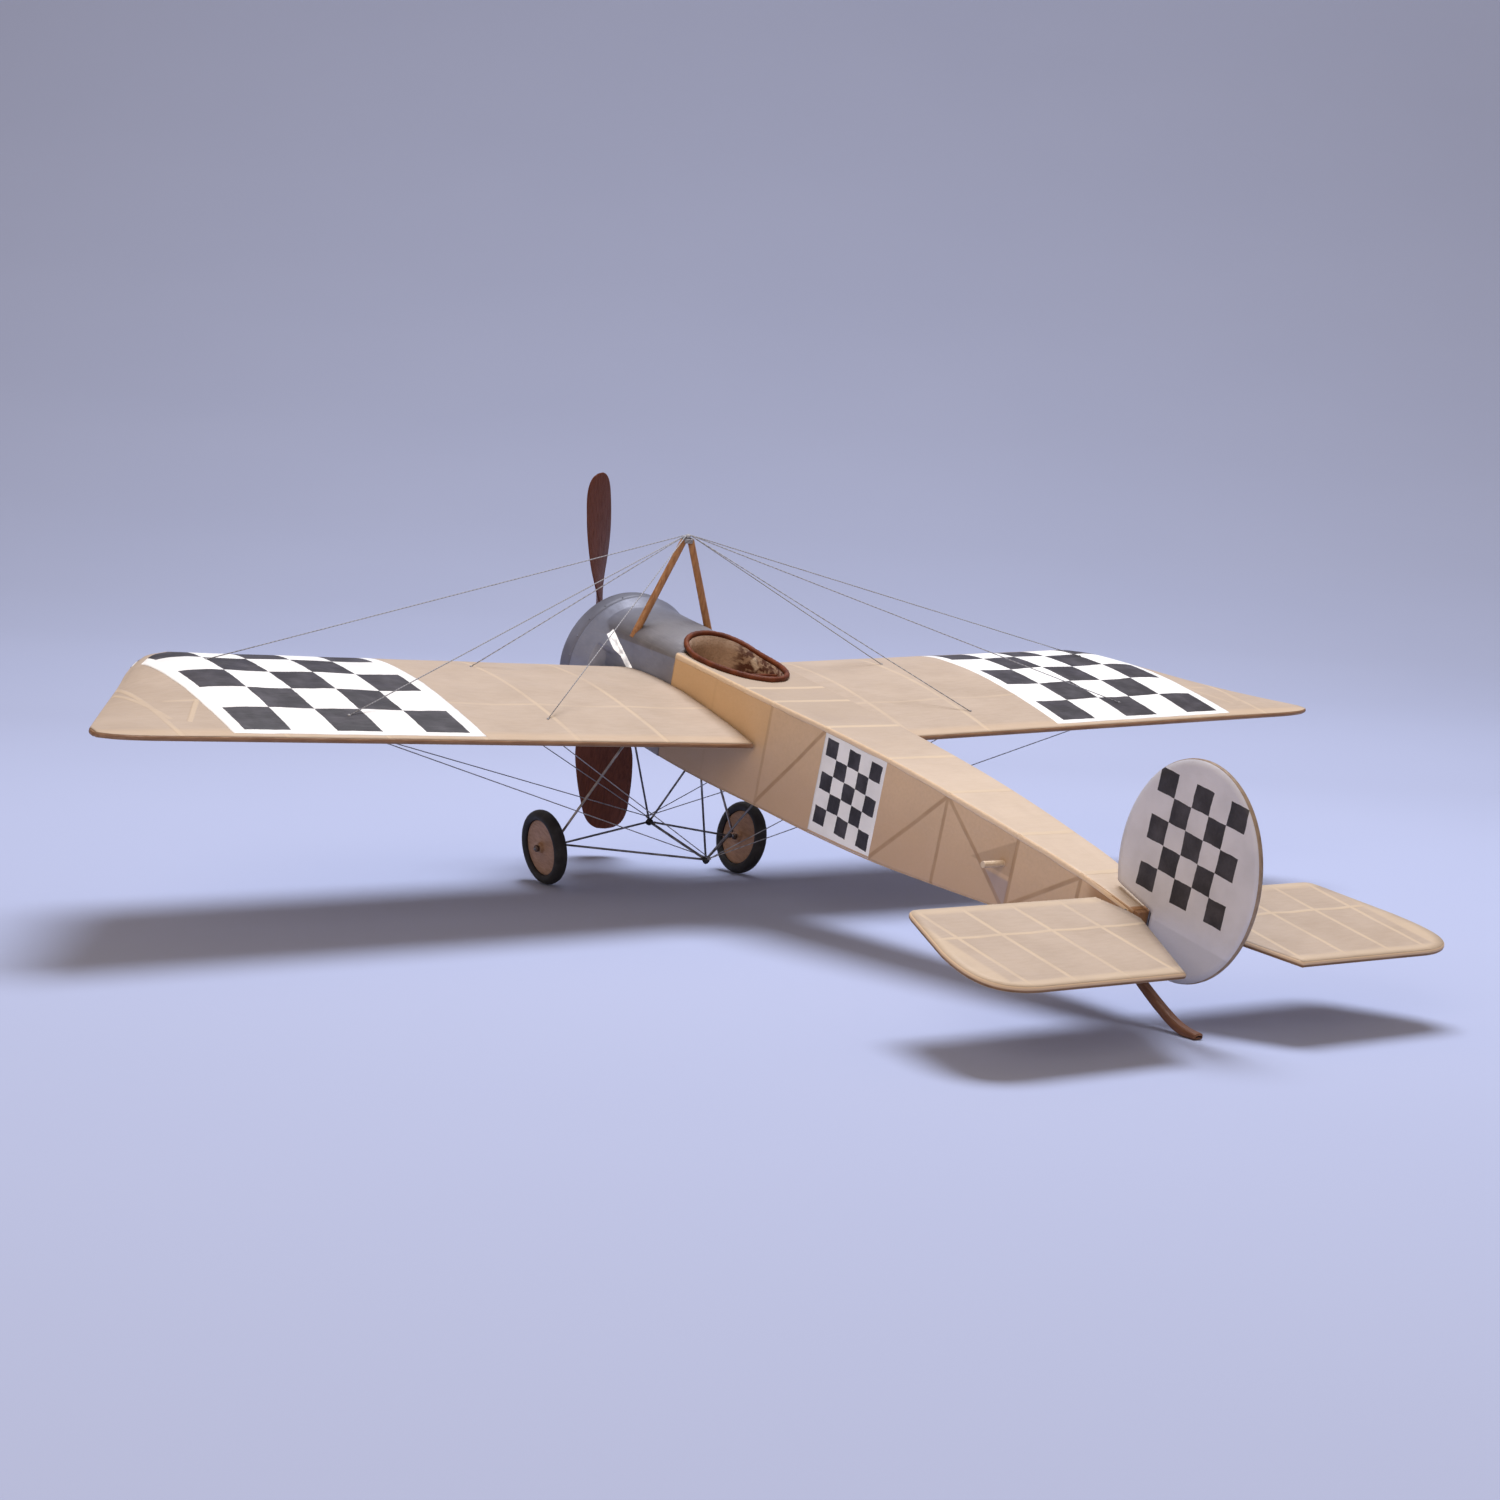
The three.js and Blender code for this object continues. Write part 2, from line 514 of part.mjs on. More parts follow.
function buildPower() {
  const centre = v3(0, thrust.propY, thrust.z);
  const blades = [0, Math.PI].map((half) => {
    const geometry = loft(bladeRings());
    geometry.rotateY(prop.turn + half);
    geometry.translate(...centre.toArray());
    return solid(geometry);
  });
  const [front, back] = [thrust.propY - prop.hubLong / 2, thrust.propY + prop.hubLong / 2];
  const boss = [[0, front], [4.4, front], [prop.hubR, front + 2], [prop.hubR, back], [0, back]];
  const hub = turned(boss, thrust.z, 16);
  const bore = rod([0, front - 3, thrust.z], [0, back + 3, thrust.z], 1.1, 10);
  piece("propeller", join([hub, ...blades]).subtract(bore), PROP_WOOD);

  const route = [[0, front - 1.6], [0, -20], [0, 0], [-0.6, 2.6], [-3.4, 4.6], [-6.2, 2.6], [-6, 0.4]];
  const points = route.map(([z, y]) => v3(0, y, thrust.z + z));
  const curve = new THREE.CatmullRomCurve3(points, false, "centripetal");
  const round = new THREE.Shape();
  round.absarc(0, 0, 0.8, 0, Math.PI * 2);
  const wire = new THREE.ExtrudeGeometry(round, { steps: 18, extrudePath: curve, curveSegments: 3 });
  const nut = rod([0, front - 1.9, thrust.z], [0, front - 0.4, thrust.z], 2.2, 6);
  piece("propeller_shaft", solid(wire).add(nut), STEEL);
  const washer = (y0, y1, outer, inner) =>
    rod([0, y0, thrust.z], [0, y1, thrust.z], outer, 16)
      .subtract(rod([0, y0 - 1, thrust.z], [0, y1 + 1, thrust.z], inner, 10));
  piece("thrust_washer", washer(back + 0.3, back + 1.1, 3, 1.1), BRASS);

  const blockFront = back + 2;
  const flange = [[0, blockFront], [12.5, blockFront], [12.5, blockFront + 3], [10, blockFront + 3.3]];
  const plug = turned([...flange, [10, -5], [0, -5]], thrust.z, 20);
  piece("nose_block", plug.subtract(rod([0, -50, thrust.z], [0, 0, thrust.z], 2.6, 12)), BALSA);
  piece("thrust_bearing", washer(blockFront - 0.6, -4.6, 2.3, 1.15), BRASS);

  const cylinders = [rod([0, -30, thrust.z], [0, -17, thrust.z], 15, 18)];
  const count = 9;
  for (let i = 0; i < count; i++) {
    const angle = (i * 2 * Math.PI) / count;
    const at = (r) => [r * Math.sin(angle), -24, thrust.z + r * Math.cos(angle)];
    cylinders.push(rod(at(10), at(31), 4.4, 8));
  }
  const engine = join(cylinders).subtract(rod([0, -40, thrust.z], [0, -10, thrust.z], 10.6, 18));
  piece("dummy_engine", engine, STEEL);

  const [start, end, gapR, bandR] = [6.6, peg.y, 2.2, 4];
  const run = Math.hypot(end - start, peg.z - thrust.z);
  const loop = (radius) => {
    const shape = new THREE.Shape();
    shape.absarc(bandR, 0, radius, Math.PI / 2, (3 * Math.PI) / 2);
    shape.absarc(run, 0, radius, -Math.PI / 2, Math.PI / 2);
    shape.closePath();
    return shape;
  };
  const options = { depth: 5, bevelEnabled: false, curveSegments: 8 };
  const band = new THREE.ExtrudeGeometry(loop(bandR), options);
  const space = new THREE.ExtrudeGeometry(loop(gapR), { ...options, depth: 9 });
  space.translate(0, 0, -2);
  const placed = (geometry) => {
    geometry.applyMatrix4(new THREE.Matrix4().makeBasis(v3(0, 1, 0), v3(0, 0, 1), v3(1, 0, 0)));
    geometry.translate(-2.5, 0, 0);
    geometry.rotateX(Math.atan2(peg.z - thrust.z, end - start));
    geometry.translate(0, start, thrust.z);
    return solid(geometry);
  };
  piece("rubber_motor", placed(band).subtract(placed(space)), RUBBER);
}

// ---- bracing ------------------------------------------------------------
function wingTop(x, y) {
  const points = wingSection(x, 0).slice(0, CREST.length).map((p) => [p.y, p.z]);
  return along(points, y);
}
function wingUnder(x, y) {
  const points = wingSection(x, 0).slice(CREST.length + 1).reverse().map((p) => [p.y, p.z]);
  return along(points, y);
}

function kingpostLeg(grow) {
  const { footX, footY, footZ, apexX, apexY, apexZ, radius } = kingpost;
  return rod([footX, footY, footZ], [apexX, apexY, apexZ], radius + grow, 10);
}

function buildBracing() {
  const { apexY, apexZ } = kingpost;
  pair("kingpost", kingpostLeg(0).intersect(box(GAP / 2, 60, 0, 40, 0, 80)), BALSA);
  const knot = [1.1, apexY, apexZ + 3.4];
  const threads = UPPER_ANCHORS.map(([x, y]) => rod(knot, [x, y, wingTop(x, y) + 0.4], THREAD, 4));
  pair("rigging_upper", join([ball(knot, 0.8), ...threads]), THREAD_GREY);
  const lower = (apex, anchors, way) => {
    const centre = [0, apex[1] + 3.2 * way, apex[2] + 2];
    const side = anchors.map(([x, y]) => rod(centre, [x, y, wingUnder(x, y) - 0.4], THREAD, 4));
    return join([ball(centre, 1.1), ...side, ...side.map(mirrored)]);
  };
  piece("rigging_lower_front", lower(gear.apexA, LOWER_FRONT, -1), THREAD_GREY);
  piece("rigging_lower_rear", lower(gear.apexB, LOWER_REAR, 1), THREAD_GREY);
}

// ---- undercarriage ------------------------------------------------------
// The point a given way short of `to`, on the line from `from`.
function shortOf(from, to, cut) {
  return v3(...to).lerp(v3(...from), cut / distance(from, to)).toArray();
}

function buildGear() {
  const { wire, apexA, apexB, footX, footZ } = gear;
  const vee = (apex, y, z) => {
    const leg = rod(apex, [footX, y, z], wire);
    return join([leg, mirrored(leg), ball(apex, 2)]);
  };
  piece("gear_vee_front", vee(apexA, FEET.front, footZ), STEEL);
  const keel = rod(shortOf(apexB, apexA, 2.4), apexB, wire + 0.2);
  piece("gear_vee_rear", vee(apexB, FEET.rear, footZ + 1.5).add(keel), STEEL);

  const hub = [wheel.x, wheel.y, wheel.z];
  // A point on the wheel's own axis, which droops outwards by the camber.
  const onAxis = (out) =>
    [wheel.x + out * Math.cos(wheel.camber), wheel.y, wheel.z - out * Math.sin(wheel.camber)];
  const bend = onAxis(-9);
  const straight = rod(bend, onAxis(6.4), wire);
  const stop = rod(onAxis(4.1), onAxis(5.6), 1.9, 8);
  const collar = rod(onAxis(-6), onAxis(-4.1), 1.9, 8);
  const arms = [apexA, apexB].map((apex) => rod(bend, shortOf(bend, apex, 2.5), wire));
  mainPair("axle", join([straight, stop, collar, ball(bend, 1.1), ...arms]), STEEL);

  const foot = [footX + 1.2, FEET.strut, footZ];
  const strut = rod([hub[0] - 7.4, hub[1], hub[2] + 4], foot, wire);
  mainPair("gear_strut", strut, STEEL);

  const { radius, tyreR, half, bore } = wheel;
  const discR = radius - 2 * tyreR - GAP + 1;
  const [rim, boss] = [discR - 0.2, half + 0.6];
  const profile = [[bore, -boss], [2.8, -boss], [3.4, -1.6], [rim, -1.2], [rim, 1.2], [3.4, 1.6],
    [2.8, boss], [bore, boss], [bore, -boss]];
  const onAxle = (geometry) => {
    geometry.rotateZ(-Math.PI / 2);
    geometry.rotateY(wheel.camber);
    geometry.translate(...hub);
    return solid(geometry);
  };
  const disc = onAxle(new THREE.LatheGeometry(profile.map(([r, y]) => new THREE.Vector2(r, y)), 24));
  mainPair("wheel_disc", disc, BALSA);
  const torus = new THREE.TorusGeometry(radius - tyreR, tyreR, 8, 24);
  torus.rotateX(Math.PI / 2);
  const groove = onAxle(new THREE.CylinderGeometry(discR + GAP, discR + GAP, 12, 24));
  mainPair("tyre", onAxle(torus).subtract(groove), TYRE);
}

// Everything below the surface that the wheels stand on.
function ground() {
  const lean = Math.sin(wheel.camber) * Math.cos(SIT_ANGLE);
  const drop = wheel.radius * Math.sqrt(1 - lean ** 2);
  const contact = wheel.z * Math.cos(SIT_ANGLE) - wheel.y * Math.sin(SIT_ANGLE) - drop;
  const geometry = new THREE.BoxGeometry(60, 300, 40);
  geometry.translate(0, 440, contact - 20);
  geometry.rotateX(SIT_ANGLE);
  return solid(geometry);
}

function buildSkid() {
  const path = [
    [398, 1], [408, -6], [418, -11.6], [427, -15.4], [437, -19], [445, -21.2], [452, -21.9], [460, -21.4],
  ];
  const curve = new THREE.CatmullRomCurve3(path.map(([y, z]) => v3(0, y, z)));
  const section = outline([[-1.7, -2.2], [1.7, -2.2], [1.7, 2.2], [-1.7, 2.2]]);
  const strip = solid(new THREE.ExtrudeGeometry(section, { steps: 14, extrudePath: curve }));
  piece("tail_skid", largest(strip.subtract(fuselageForm(-GAP)).subtract(ground())), DARK_WOOD);
}

// ---- tail ---------------------------------------------------------------
const ovalAt = (angle, inset) => [
  rudder.y + (rudder.ry - inset) * Math.cos(angle),
  rudder.z + (rudder.rz - inset) * Math.sin(angle),
];
function oval(inset, steps = 30) {
  return Array.from({ length: steps }, (_, i) => ovalAt((i * 2 * Math.PI) / steps, inset));
}

function buildRudder() {
  const half = rudder.thick / 2;
  const clear = box(-5, 5, 380, rudder.hingeY + 1, -20, rudder.swing);
  const post = [rudder.hingeY + 1.2, rudder.hingeY + 5.2];
  const whole = (x0, x1, inset) => plate(outline(oval(inset)), x0, x1).subtract(clear);
  const core = whole(-half + 0.35, half - 0.35, 0);
  const slice = (y0, y1, z0, z1) => core.intersect(box(-5, 5, y0, y1, z0, z1));
  const rim = whole(-half, half, 0).subtract(whole(-5, 5, 3.2));
  const ribs = [12, 45, 78].map((z) => slice(380, 480, z - 1.2, z + 1.2));
  const [upright, foot] = [slice(...post, -20, 100), slice(380, 420, rudder.swing, rudder.swing + 3)];
  piece("rudder_frame", largest(join([rim, upright, foot, ...ribs])), BALSA);
  const clearCover = box(-5, 5, 380, rudder.hingeY + 1.4, -20, rudder.swing + 0.4);
  const cover = plate(outline(oval(3.5)), half - 0.32, half).subtract(clearCover);
  mainPair("rudder_cover", cover, WHITE);
  const pin = [[0, rudder.hingeY - 0.4, -1], [0, rudder.hingeY - 0.4, rudder.swing - 1.6]];
  piece("rudder_hinge_pin", rod(...pin, 0.6, 8).intersect(box(-5, 5, 414.1, 420, -20, 40)), STEEL);
}

function elevatorShape(inset) {
  const { frontY, rearY } = elevator;
  const shape = new THREE.Shape();
  const d = inset;
  shape.moveTo(14.2 + d, frontY + d);
  shape.lineTo(112, frontY + d);
  shape.quadraticCurveTo(121 - d, frontY + d, 124.5 - d, 402);
  shape.lineTo(135.5 - d, 436);
  shape.bezierCurveTo(141 - d, 458, 141 - d, rearY - d, 112, rearY - d);
  shape.lineTo(35 + d * 0.5, rearY - d);
  shape.lineTo(9.4 + d, 420);
  shape.lineTo(9.4 + d, 412);
  shape.closePath();
  return shape;
}

function buildElevator() {
  const half = elevator.thick / 2;
  const { z, pivotY, wire } = elevator;
  const core = half - 0.35;
  const whole = slab(elevatorShape(0), z - half, z + half, 5);
  const rim = whole.subtract(slab(elevatorShape(3.6), z - half - 1, z + half + 1, 5));
  const inside = slab(elevatorShape(0), z - core, z + core, 5);
  const bars = [38, 66, 94, 118].map((x) => box(x - 1, x + 1, 380, 480, z - 9, z + 9));
  const spars = [[pivotY, 3], [425, 1.2]].map(([y, wide]) => box(0, 150, y - wide, y + wide, z - 9, z + 9));
  const bore = rod([0, pivotY, z], [44, pivotY, z], wire + 0.15, 10);
  const body = join([rim, inside.intersect(join([...bars, ...spars]))]).subtract(bore);
  mainPair("elevator_frame", largest(body), BALSA);
  const sheet = slab(elevatorShape(3.9), z + core + 0.03, z + half, 5);
  mainPair("elevator_cover", largest(sheet), TISSUE);
  piece("elevator_joiner", rod([-42, pivotY, z], [42, pivotY, z], wire, 10), STEEL);
}

buildWing();
buildFuselage();
buildNose();
buildCockpit();
buildPower();
buildBracing();
buildGear();
buildSkid();
buildRudder();
buildElevator();

// Stand the plane on its wheels and skid, centred over the origin.
const model = new THREE.Group();
model.add(plane);
model.updateMatrixWorld(true);
const extent = new THREE.Box3().setFromObject(plane, true);
plane.position.y = -(extent.min.y + extent.max.y) / 2;
plane.position.z = -extent.min.z;

export default model;
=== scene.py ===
"""Rubber band plane: tissue, wood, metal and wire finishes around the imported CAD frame.

Pieces are built in airframe millimetres (x to the pilot's left, y aft, z up, origin level with
the wing roots' leading edge) and placed in the row frame by AIR.
"""

import json
import math

import bpy
from mathutils import Matrix, Vector, noise


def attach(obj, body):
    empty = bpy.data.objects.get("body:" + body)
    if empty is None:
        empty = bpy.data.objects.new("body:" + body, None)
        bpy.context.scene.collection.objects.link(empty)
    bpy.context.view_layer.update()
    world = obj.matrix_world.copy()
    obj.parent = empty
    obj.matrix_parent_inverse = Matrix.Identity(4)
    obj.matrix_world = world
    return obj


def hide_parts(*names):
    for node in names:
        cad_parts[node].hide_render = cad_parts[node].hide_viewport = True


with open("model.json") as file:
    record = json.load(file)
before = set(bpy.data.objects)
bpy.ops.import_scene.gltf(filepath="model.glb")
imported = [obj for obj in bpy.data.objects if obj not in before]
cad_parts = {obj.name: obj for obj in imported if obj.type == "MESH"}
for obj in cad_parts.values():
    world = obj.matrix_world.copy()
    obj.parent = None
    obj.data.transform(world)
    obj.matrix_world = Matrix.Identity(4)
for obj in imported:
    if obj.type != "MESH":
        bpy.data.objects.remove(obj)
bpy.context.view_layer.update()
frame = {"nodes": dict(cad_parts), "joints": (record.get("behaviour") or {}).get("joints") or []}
MM = 0.001

# ---- where the airframe stands ----
joints = {joint["name"]: joint for joint in frame["joints"]}
AFT = Vector(joints["propeller_spin"]["axis"])
UP = Vector((0, -AFT.z, AFT.y))
SIT = math.atan2(-AFT.z, AFT.y)
THRUST = Vector((0, -44.9, -11.9))
AXES = Matrix((Vector((1, 0, 0)), AFT, UP)).transposed()
ORIGIN = Vector(joints["propeller_spin"]["pos_m"]) - AXES @ THRUST * MM
AIR = Matrix.Translation(ORIGIN) @ AXES.to_4x4() @ Matrix.Scale(MM, 4)

# ---- airframe sizes, millimetres ----
WING = dict(root=26.6, tip=381, chord=145, te_height=2.5, te_thick=2.2, dihedral=0.034,
            incidence=0.092, camber=0.091, undercamber=1.5)
CREST = [(0, 0.3), (0.03, 0.58), (0.1, 0.82), (0.2, 0.97), (0.35, 0.99), (0.5, 0.9), (0.65, 0.7),
         (0.8, 0.44), (0.9, 0.24), (1, 0)]
TIP_LE = [(0, 0), (292, 0), (304, 8), (320, 31), (335, 57), (347, 77), (360, 98.5), (371, 117),
          (381, 134)]
TIP_TE = [(0, 145), (355, 145), (365, 144.2), (373, 142.6), (381, 138.6)]
RIB_PITCH = 52.4
RIBS = [WING["root"] + RIB_PITCH * i for i in range(7)]
TIP_START = 292
PANEL = (182.6, 314.7)

NOSE_HALF, DECK_REAR = 26, 63
# y, half width, top, bottom
FUSELAGE = [(-4, NOSE_HALF, 24, -33), (DECK_REAR, NOSE_HALF, 25.2, -33),
            (103, 25.9, 26.4, -31.5), (152, 24.7, 28.1, -28.3), (196, 23, 29.8, -26),
            (245, 21.1, 30.9, -22), (291, 19.6, 30.4, -16), (341, 16.8, 28.4, -9),
            (382, 13.4, 25.4, -3), (414, 6.4, 18.8, 2.5)]
SKIN_FRONT, SKIN_REAR = 62.9, 411.7
UPRIGHTS = [103, 152, 196, 245, 291, 341, 382]
DIAGONALS = [(152, 196), (245, 291), (338, 291), (341, 382)]
SIDE_PANEL = (196.5, 244.5)

# y, shoulders, crown of the arched metal deck
DECK = [(-6, 17.4, 29), (DECK_REAR, 21, 31)]
COWL = dict(z=-8, r=40.5, front=-26, rear=-15)
CONE = dict(front=-14.7, front_r=40.3, rear=40, rear_r=24)
PROP_R, PROP_PITCH, PROP_TURN, PROP_CHORD = 108.5, 333, 0.212, 33.5
POST_FOOT, POST_TOP = Vector((25.4, 19.4, 19.6)), Vector((2.2, 17.9, 74.6))
WHEEL = dict(x=65.7, y=29, z=-96.8, radius=20.6, tyre=3.0, camber=0.14)
APEX_A, APEX_B = Vector((0, 29.4, -84.5)), Vector((0, 87.3, -84.5))
VEE_WIRE = 0.58
RUDDER = dict(y=431.5, z=45, ry=42.75, rz=50, thick=2.4, cut_y=416.4, cut_z=25.6,
              cut_fall=-0.21)
ELEVATOR = dict(z=17.6, thick=2.6, front=394, rear=476.5)
TAIL_RIBS, TAIL_PITCH = (38, 66, 94, 118), 28
SIDES = (("left", 1), ("right", -1))
VIEW_YAW, VIEW_PITCH, VIEW_ROLL = 0.626, 0.113, 0.054
VIEW_FROM, VIEW_LENS = Vector((0.860881, 1.292786, 0.129342)), 67.28


# ---- shape helpers ----
def table_at(table, at, column=1):
    """Straight-line lookup in a table whose first column rises."""
    if at <= table[0][0]:
        return table[0][column]
    for low, high in zip(table, table[1:]):
        if at <= high[0]:
            part = (at - low[0]) / (high[0] - low[0])
            return low[column] + part * (high[column] - low[column])
    return table[-1][column]


def smooth_at(table, at, column=1):
    """Like table_at, but on a smooth curve through the points."""
    keys = [row[0] for row in table]
    at = clamp(at, keys[0], keys[-1])
    i = next((k for k in range(len(keys) - 1) if at <= keys[k + 1]), len(keys) - 2)
    step = keys[i + 1] - keys[i]
    t = (at - keys[i]) / step

    def slope(k):
        before, after = max(k - 1, 0), min(k + 1, len(keys) - 1)
        return (table[after][column] - table[before][column]) / (keys[after] - keys[before])

    p0, p1 = table[i][column], table[i + 1][column]
    m0, m1 = slope(i) * step, slope(i + 1) * step
    return ((2 * t**3 - 3 * t**2 + 1) * p0 + (t**3 - 2 * t**2 + t) * m0
            + (3 * t**2 - 2 * t**3) * p1 + (t**3 - t**2) * m1)


def clamp(value, low=0, high=1):
    return min(max(value, low), high)


def ease(at, low, high):
    t = clamp((at - low) / (high - low))
    return t * t * (3 - 2 * t)


def rough(point, scale, seed=0):
    """Smooth noise about 0 at a point in millimetres."""
    return noise.noise(Vector(point) / scale + Vector((seed * 7.3, seed * 3.1, seed * 5.7)))


def between(low, high, count):
    return [low + (high - low) * i / (count - 1) for i in range(count)]


def turns(count):
    """Evenly spaced angles round a full circle."""
    return [2 * math.pi * k / count for k in range(count)]


def half_at(y):
    return smooth_at(FUSELAGE, y, 1)


def top_at(y):
    return smooth_at(FUSELAGE, y, 2)


def bottom_at(y):
    return smooth_at(FUSELAGE, y, 3)


def add(name, points, faces, finish, body="airframe", replaces=(), thickness=0.0):
    """A new piece from points in airframe millimetres, riding on a body."""
    mesh = bpy.data.meshes.new(name)
    mesh.from_pydata([AIR @ Vector(p) for p in points], [], faces)
    mesh.validate()
    mesh.update()
    piece = bpy.data.objects.new(name, mesh)
    bpy.context.scene.collection.objects.link(piece)
    mesh.materials.append(FINISH[finish])
    mesh.polygons.foreach_set("use_smooth", [True] * len(mesh.polygons))
    if thickness:
        solid = piece.modifiers.new("thickness", "SOLIDIFY")
        solid.thickness, solid.offset = thickness * MM, -1
    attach(piece, body)
    if replaces:
        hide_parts(*replaces)
    return piece


def add_pair(name, points, faces, finish, node=None, **rest):
    """A left piece and its mirror image on the right, each standing for its side's CAD node."""
    for side, sign in SIDES:
        shape = (points, faces) if sign > 0 else (mirrored(points), flipped(faces))
        add(f"{name}_{side}", *shape, finish, replaces=[f"{node}_{side}"] if node else (), **rest)


def grid_faces(rows, columns, wrap_rows=False, wrap_columns=False):
    faces = []
    for i in range(rows if wrap_rows else rows - 1):
        for j in range(columns if wrap_columns else columns - 1):
            a, b = i * columns, (i + 1) % rows * columns
            k = (j + 1) % columns
            faces.append((a + j, a + k, b + k, b + j))
    return faces


def bezier(control, shares):
    """Points of a cubic curve at these shares along it."""
    a, b, c, d = control
    points = []
    for t in shares:
        s = 1 - t
        points.append(tuple(s**3 * a[i] + 3 * s * s * t * b[i] + 3 * s * t * t * c[i] + t**3 * d[i]
                            for i in (0, 1)))
    return points


def end_faces(rows, columns):
    """The two faces that close the ends of a grid of rings."""
    return [tuple(range(columns)), tuple(reversed(range((rows - 1) * columns, rows * columns)))]


def flipped(faces):
    return [tuple(reversed(face)) for face in faces]


def mirrored(points):
    return [(-p[0], p[1], p[2]) for p in points]


def tube(path, radius, sides=10, closed=False, squash=1.0, tilt=None):
    """Points and faces of a tube along a path. radius may be a function of the share along it.
    squash flattens it along its normal, which follows tilt where that is given."""
    path = [Vector(p) for p in path]
    count = len(path)
    points, normal = [], None
    for i, here in enumerate(path):
        after = path[(i + 1) % count] if closed or i < count - 1 else here
        before = path[i - 1] if closed or i > 0 else here
        way = (after - before).normalized()
        if normal is None:
            level = Vector((0, 0, 1)) if abs(way.z) < 0.9 else Vector((1, 0, 0))
            normal = Vector(tilt) if tilt else level
        normal = (normal - way * normal.dot(way)).normalized()
        if tilt:
            normal = (Vector(tilt) - way * Vector(tilt).dot(way)).normalized()
        side = way.cross(normal)
        size = radius(i / max(count - 1, 1)) if callable(radius) else radius
        for angle in turns(sides):
            points.append(here + side * size * math.cos(angle) + normal * size * squash * math.sin(angle))
    faces = flipped(grid_faces(count, sides, wrap_rows=closed, wrap_columns=True))
    if not closed:
        faces += end_faces(count, sides)
    return points, faces


def merged(*shapes):
    """Several (points, faces) shapes as one."""
    points, faces = [], []
    for shape_points, shape_faces in shapes:
        start = len(points)
        points += [tuple(p) for p in shape_points]
        faces += [tuple(start + i for i in face) for face in shape_faces]
    return points, faces


def turned_shape(profile, centre, axis="y", sides=48, wobble=None):
    """A lathe shape about the y or x axis through centre. Profile rows are radius, place along the
    axis. The profile closes on itself."""
    points = []
    for angle in turns(sides):
        for radius, along in profile:
            r = radius * (1 + (wobble(angle, along) if wobble else 0))
            c, s = r * math.cos(angle), r * math.sin(angle)
            points.append((c, along, s) if axis == "y" else (along, c, s))
    points = [(centre[0] + p[0], centre[1] + p[1], centre[2] + p[2]) for p in points]
    return points, grid_faces(sides, len(profile), wrap_rows=True, wrap_columns=True)


def facing_out(shape):
    """The shape with its faces turned outwards, judged by its signed volume."""
    points, faces = shape
    vectors = [Vector(p) for p in points]
    volume = 0
    for face in faces:
        for i in range(1, len(face) - 1):
            a, b, c = vectors[face[0]], vectors[face[i]], vectors[face[i + 1]]
            volume += a.dot(b.cross(c))
    return (points, faces) if volume > 0 else (points, flipped(faces))


def blob(centre, radius, seed=0):
    """A small uneven lump, such as a solder joint or a knot."""
    rings, sides = 9, 12
    points = [Vector(centre) + Vector((0, 0, radius))]
    for i in range(1, rings):
        polar = math.pi * i / rings
        flat, height = math.sin(polar), math.cos(polar)
        for angle in turns(sides):
            way = Vector((flat * math.cos(angle), flat * math.sin(angle), height))
            points.append(Vector(centre) + way * radius * (1 + 0.25 * rough(way * 10, 9, seed)))
    points.append(Vector(centre) - Vector((0, 0, radius)))
    faces = [(0, 1 + k, 1 + (k + 1) % sides) for k in range(sides)]
    for i in range(rings - 2):
        a, b = 1 + i * sides, 1 + (i + 1) * sides
        faces += [(a + k, b + k, b + (k + 1) % sides, a + (k + 1) % sides) for k in range(sides)]
    last, base = len(points) - 1, 1 + (rings - 2) * sides
    faces += [(last, base + (k + 1) % sides, base + k) for k in range(sides)]
    return facing_out((points, faces))


# ---- finish helpers ----
def operation(name):
    """A Field method that does one arithmetic operation."""
    return lambda self, *others: self.math(name, *others)


class Field:
    """A number made by shader nodes, so that a pattern reads as arithmetic."""

    def __init__(self, tree, socket):
        self.tree, self.socket = tree, socket

    def math(self, operation, *others):
        node = self.tree.nodes.new("ShaderNodeMath")
        node.operation = operation
        for slot_in, value in zip(node.inputs, (self, *others)):
            if isinstance(value, Field):
                self.tree.links.new(value.socket, slot_in)
            else:
                slot_in.default_value = value
        return Field(self.tree, node.outputs[0])

    __add__ = __radd__ = operation("ADD")
    __sub__ = operation("SUBTRACT")
    __mul__ = __rmul__ = operation("MULTIPLY")
    __truediv__ = operation("DIVIDE")
    __abs__ = operation("ABSOLUTE")
    below = operation("LESS_THAN")
    above = operation("GREATER_THAN")
    most = operation("MAXIMUM")

    def __rsub__(self, other):
        return self * -1 + other

    def ramp(self, low, high, start=0.0, end=1.0):
        """Smoothly from start at low to end at high."""
        node = self.tree.nodes.new("ShaderNodeMapRange")
        node.interpolation_type = "SMOOTHSTEP"
        self.tree.links.new(self.socket, node.inputs["Value"])
        for key, value in (("From Min", low), ("From Max", high), ("To Min", start), ("To Max", end)):
            node.inputs[key].default_value = value
        return Field(self.tree, node.outputs["Result"])


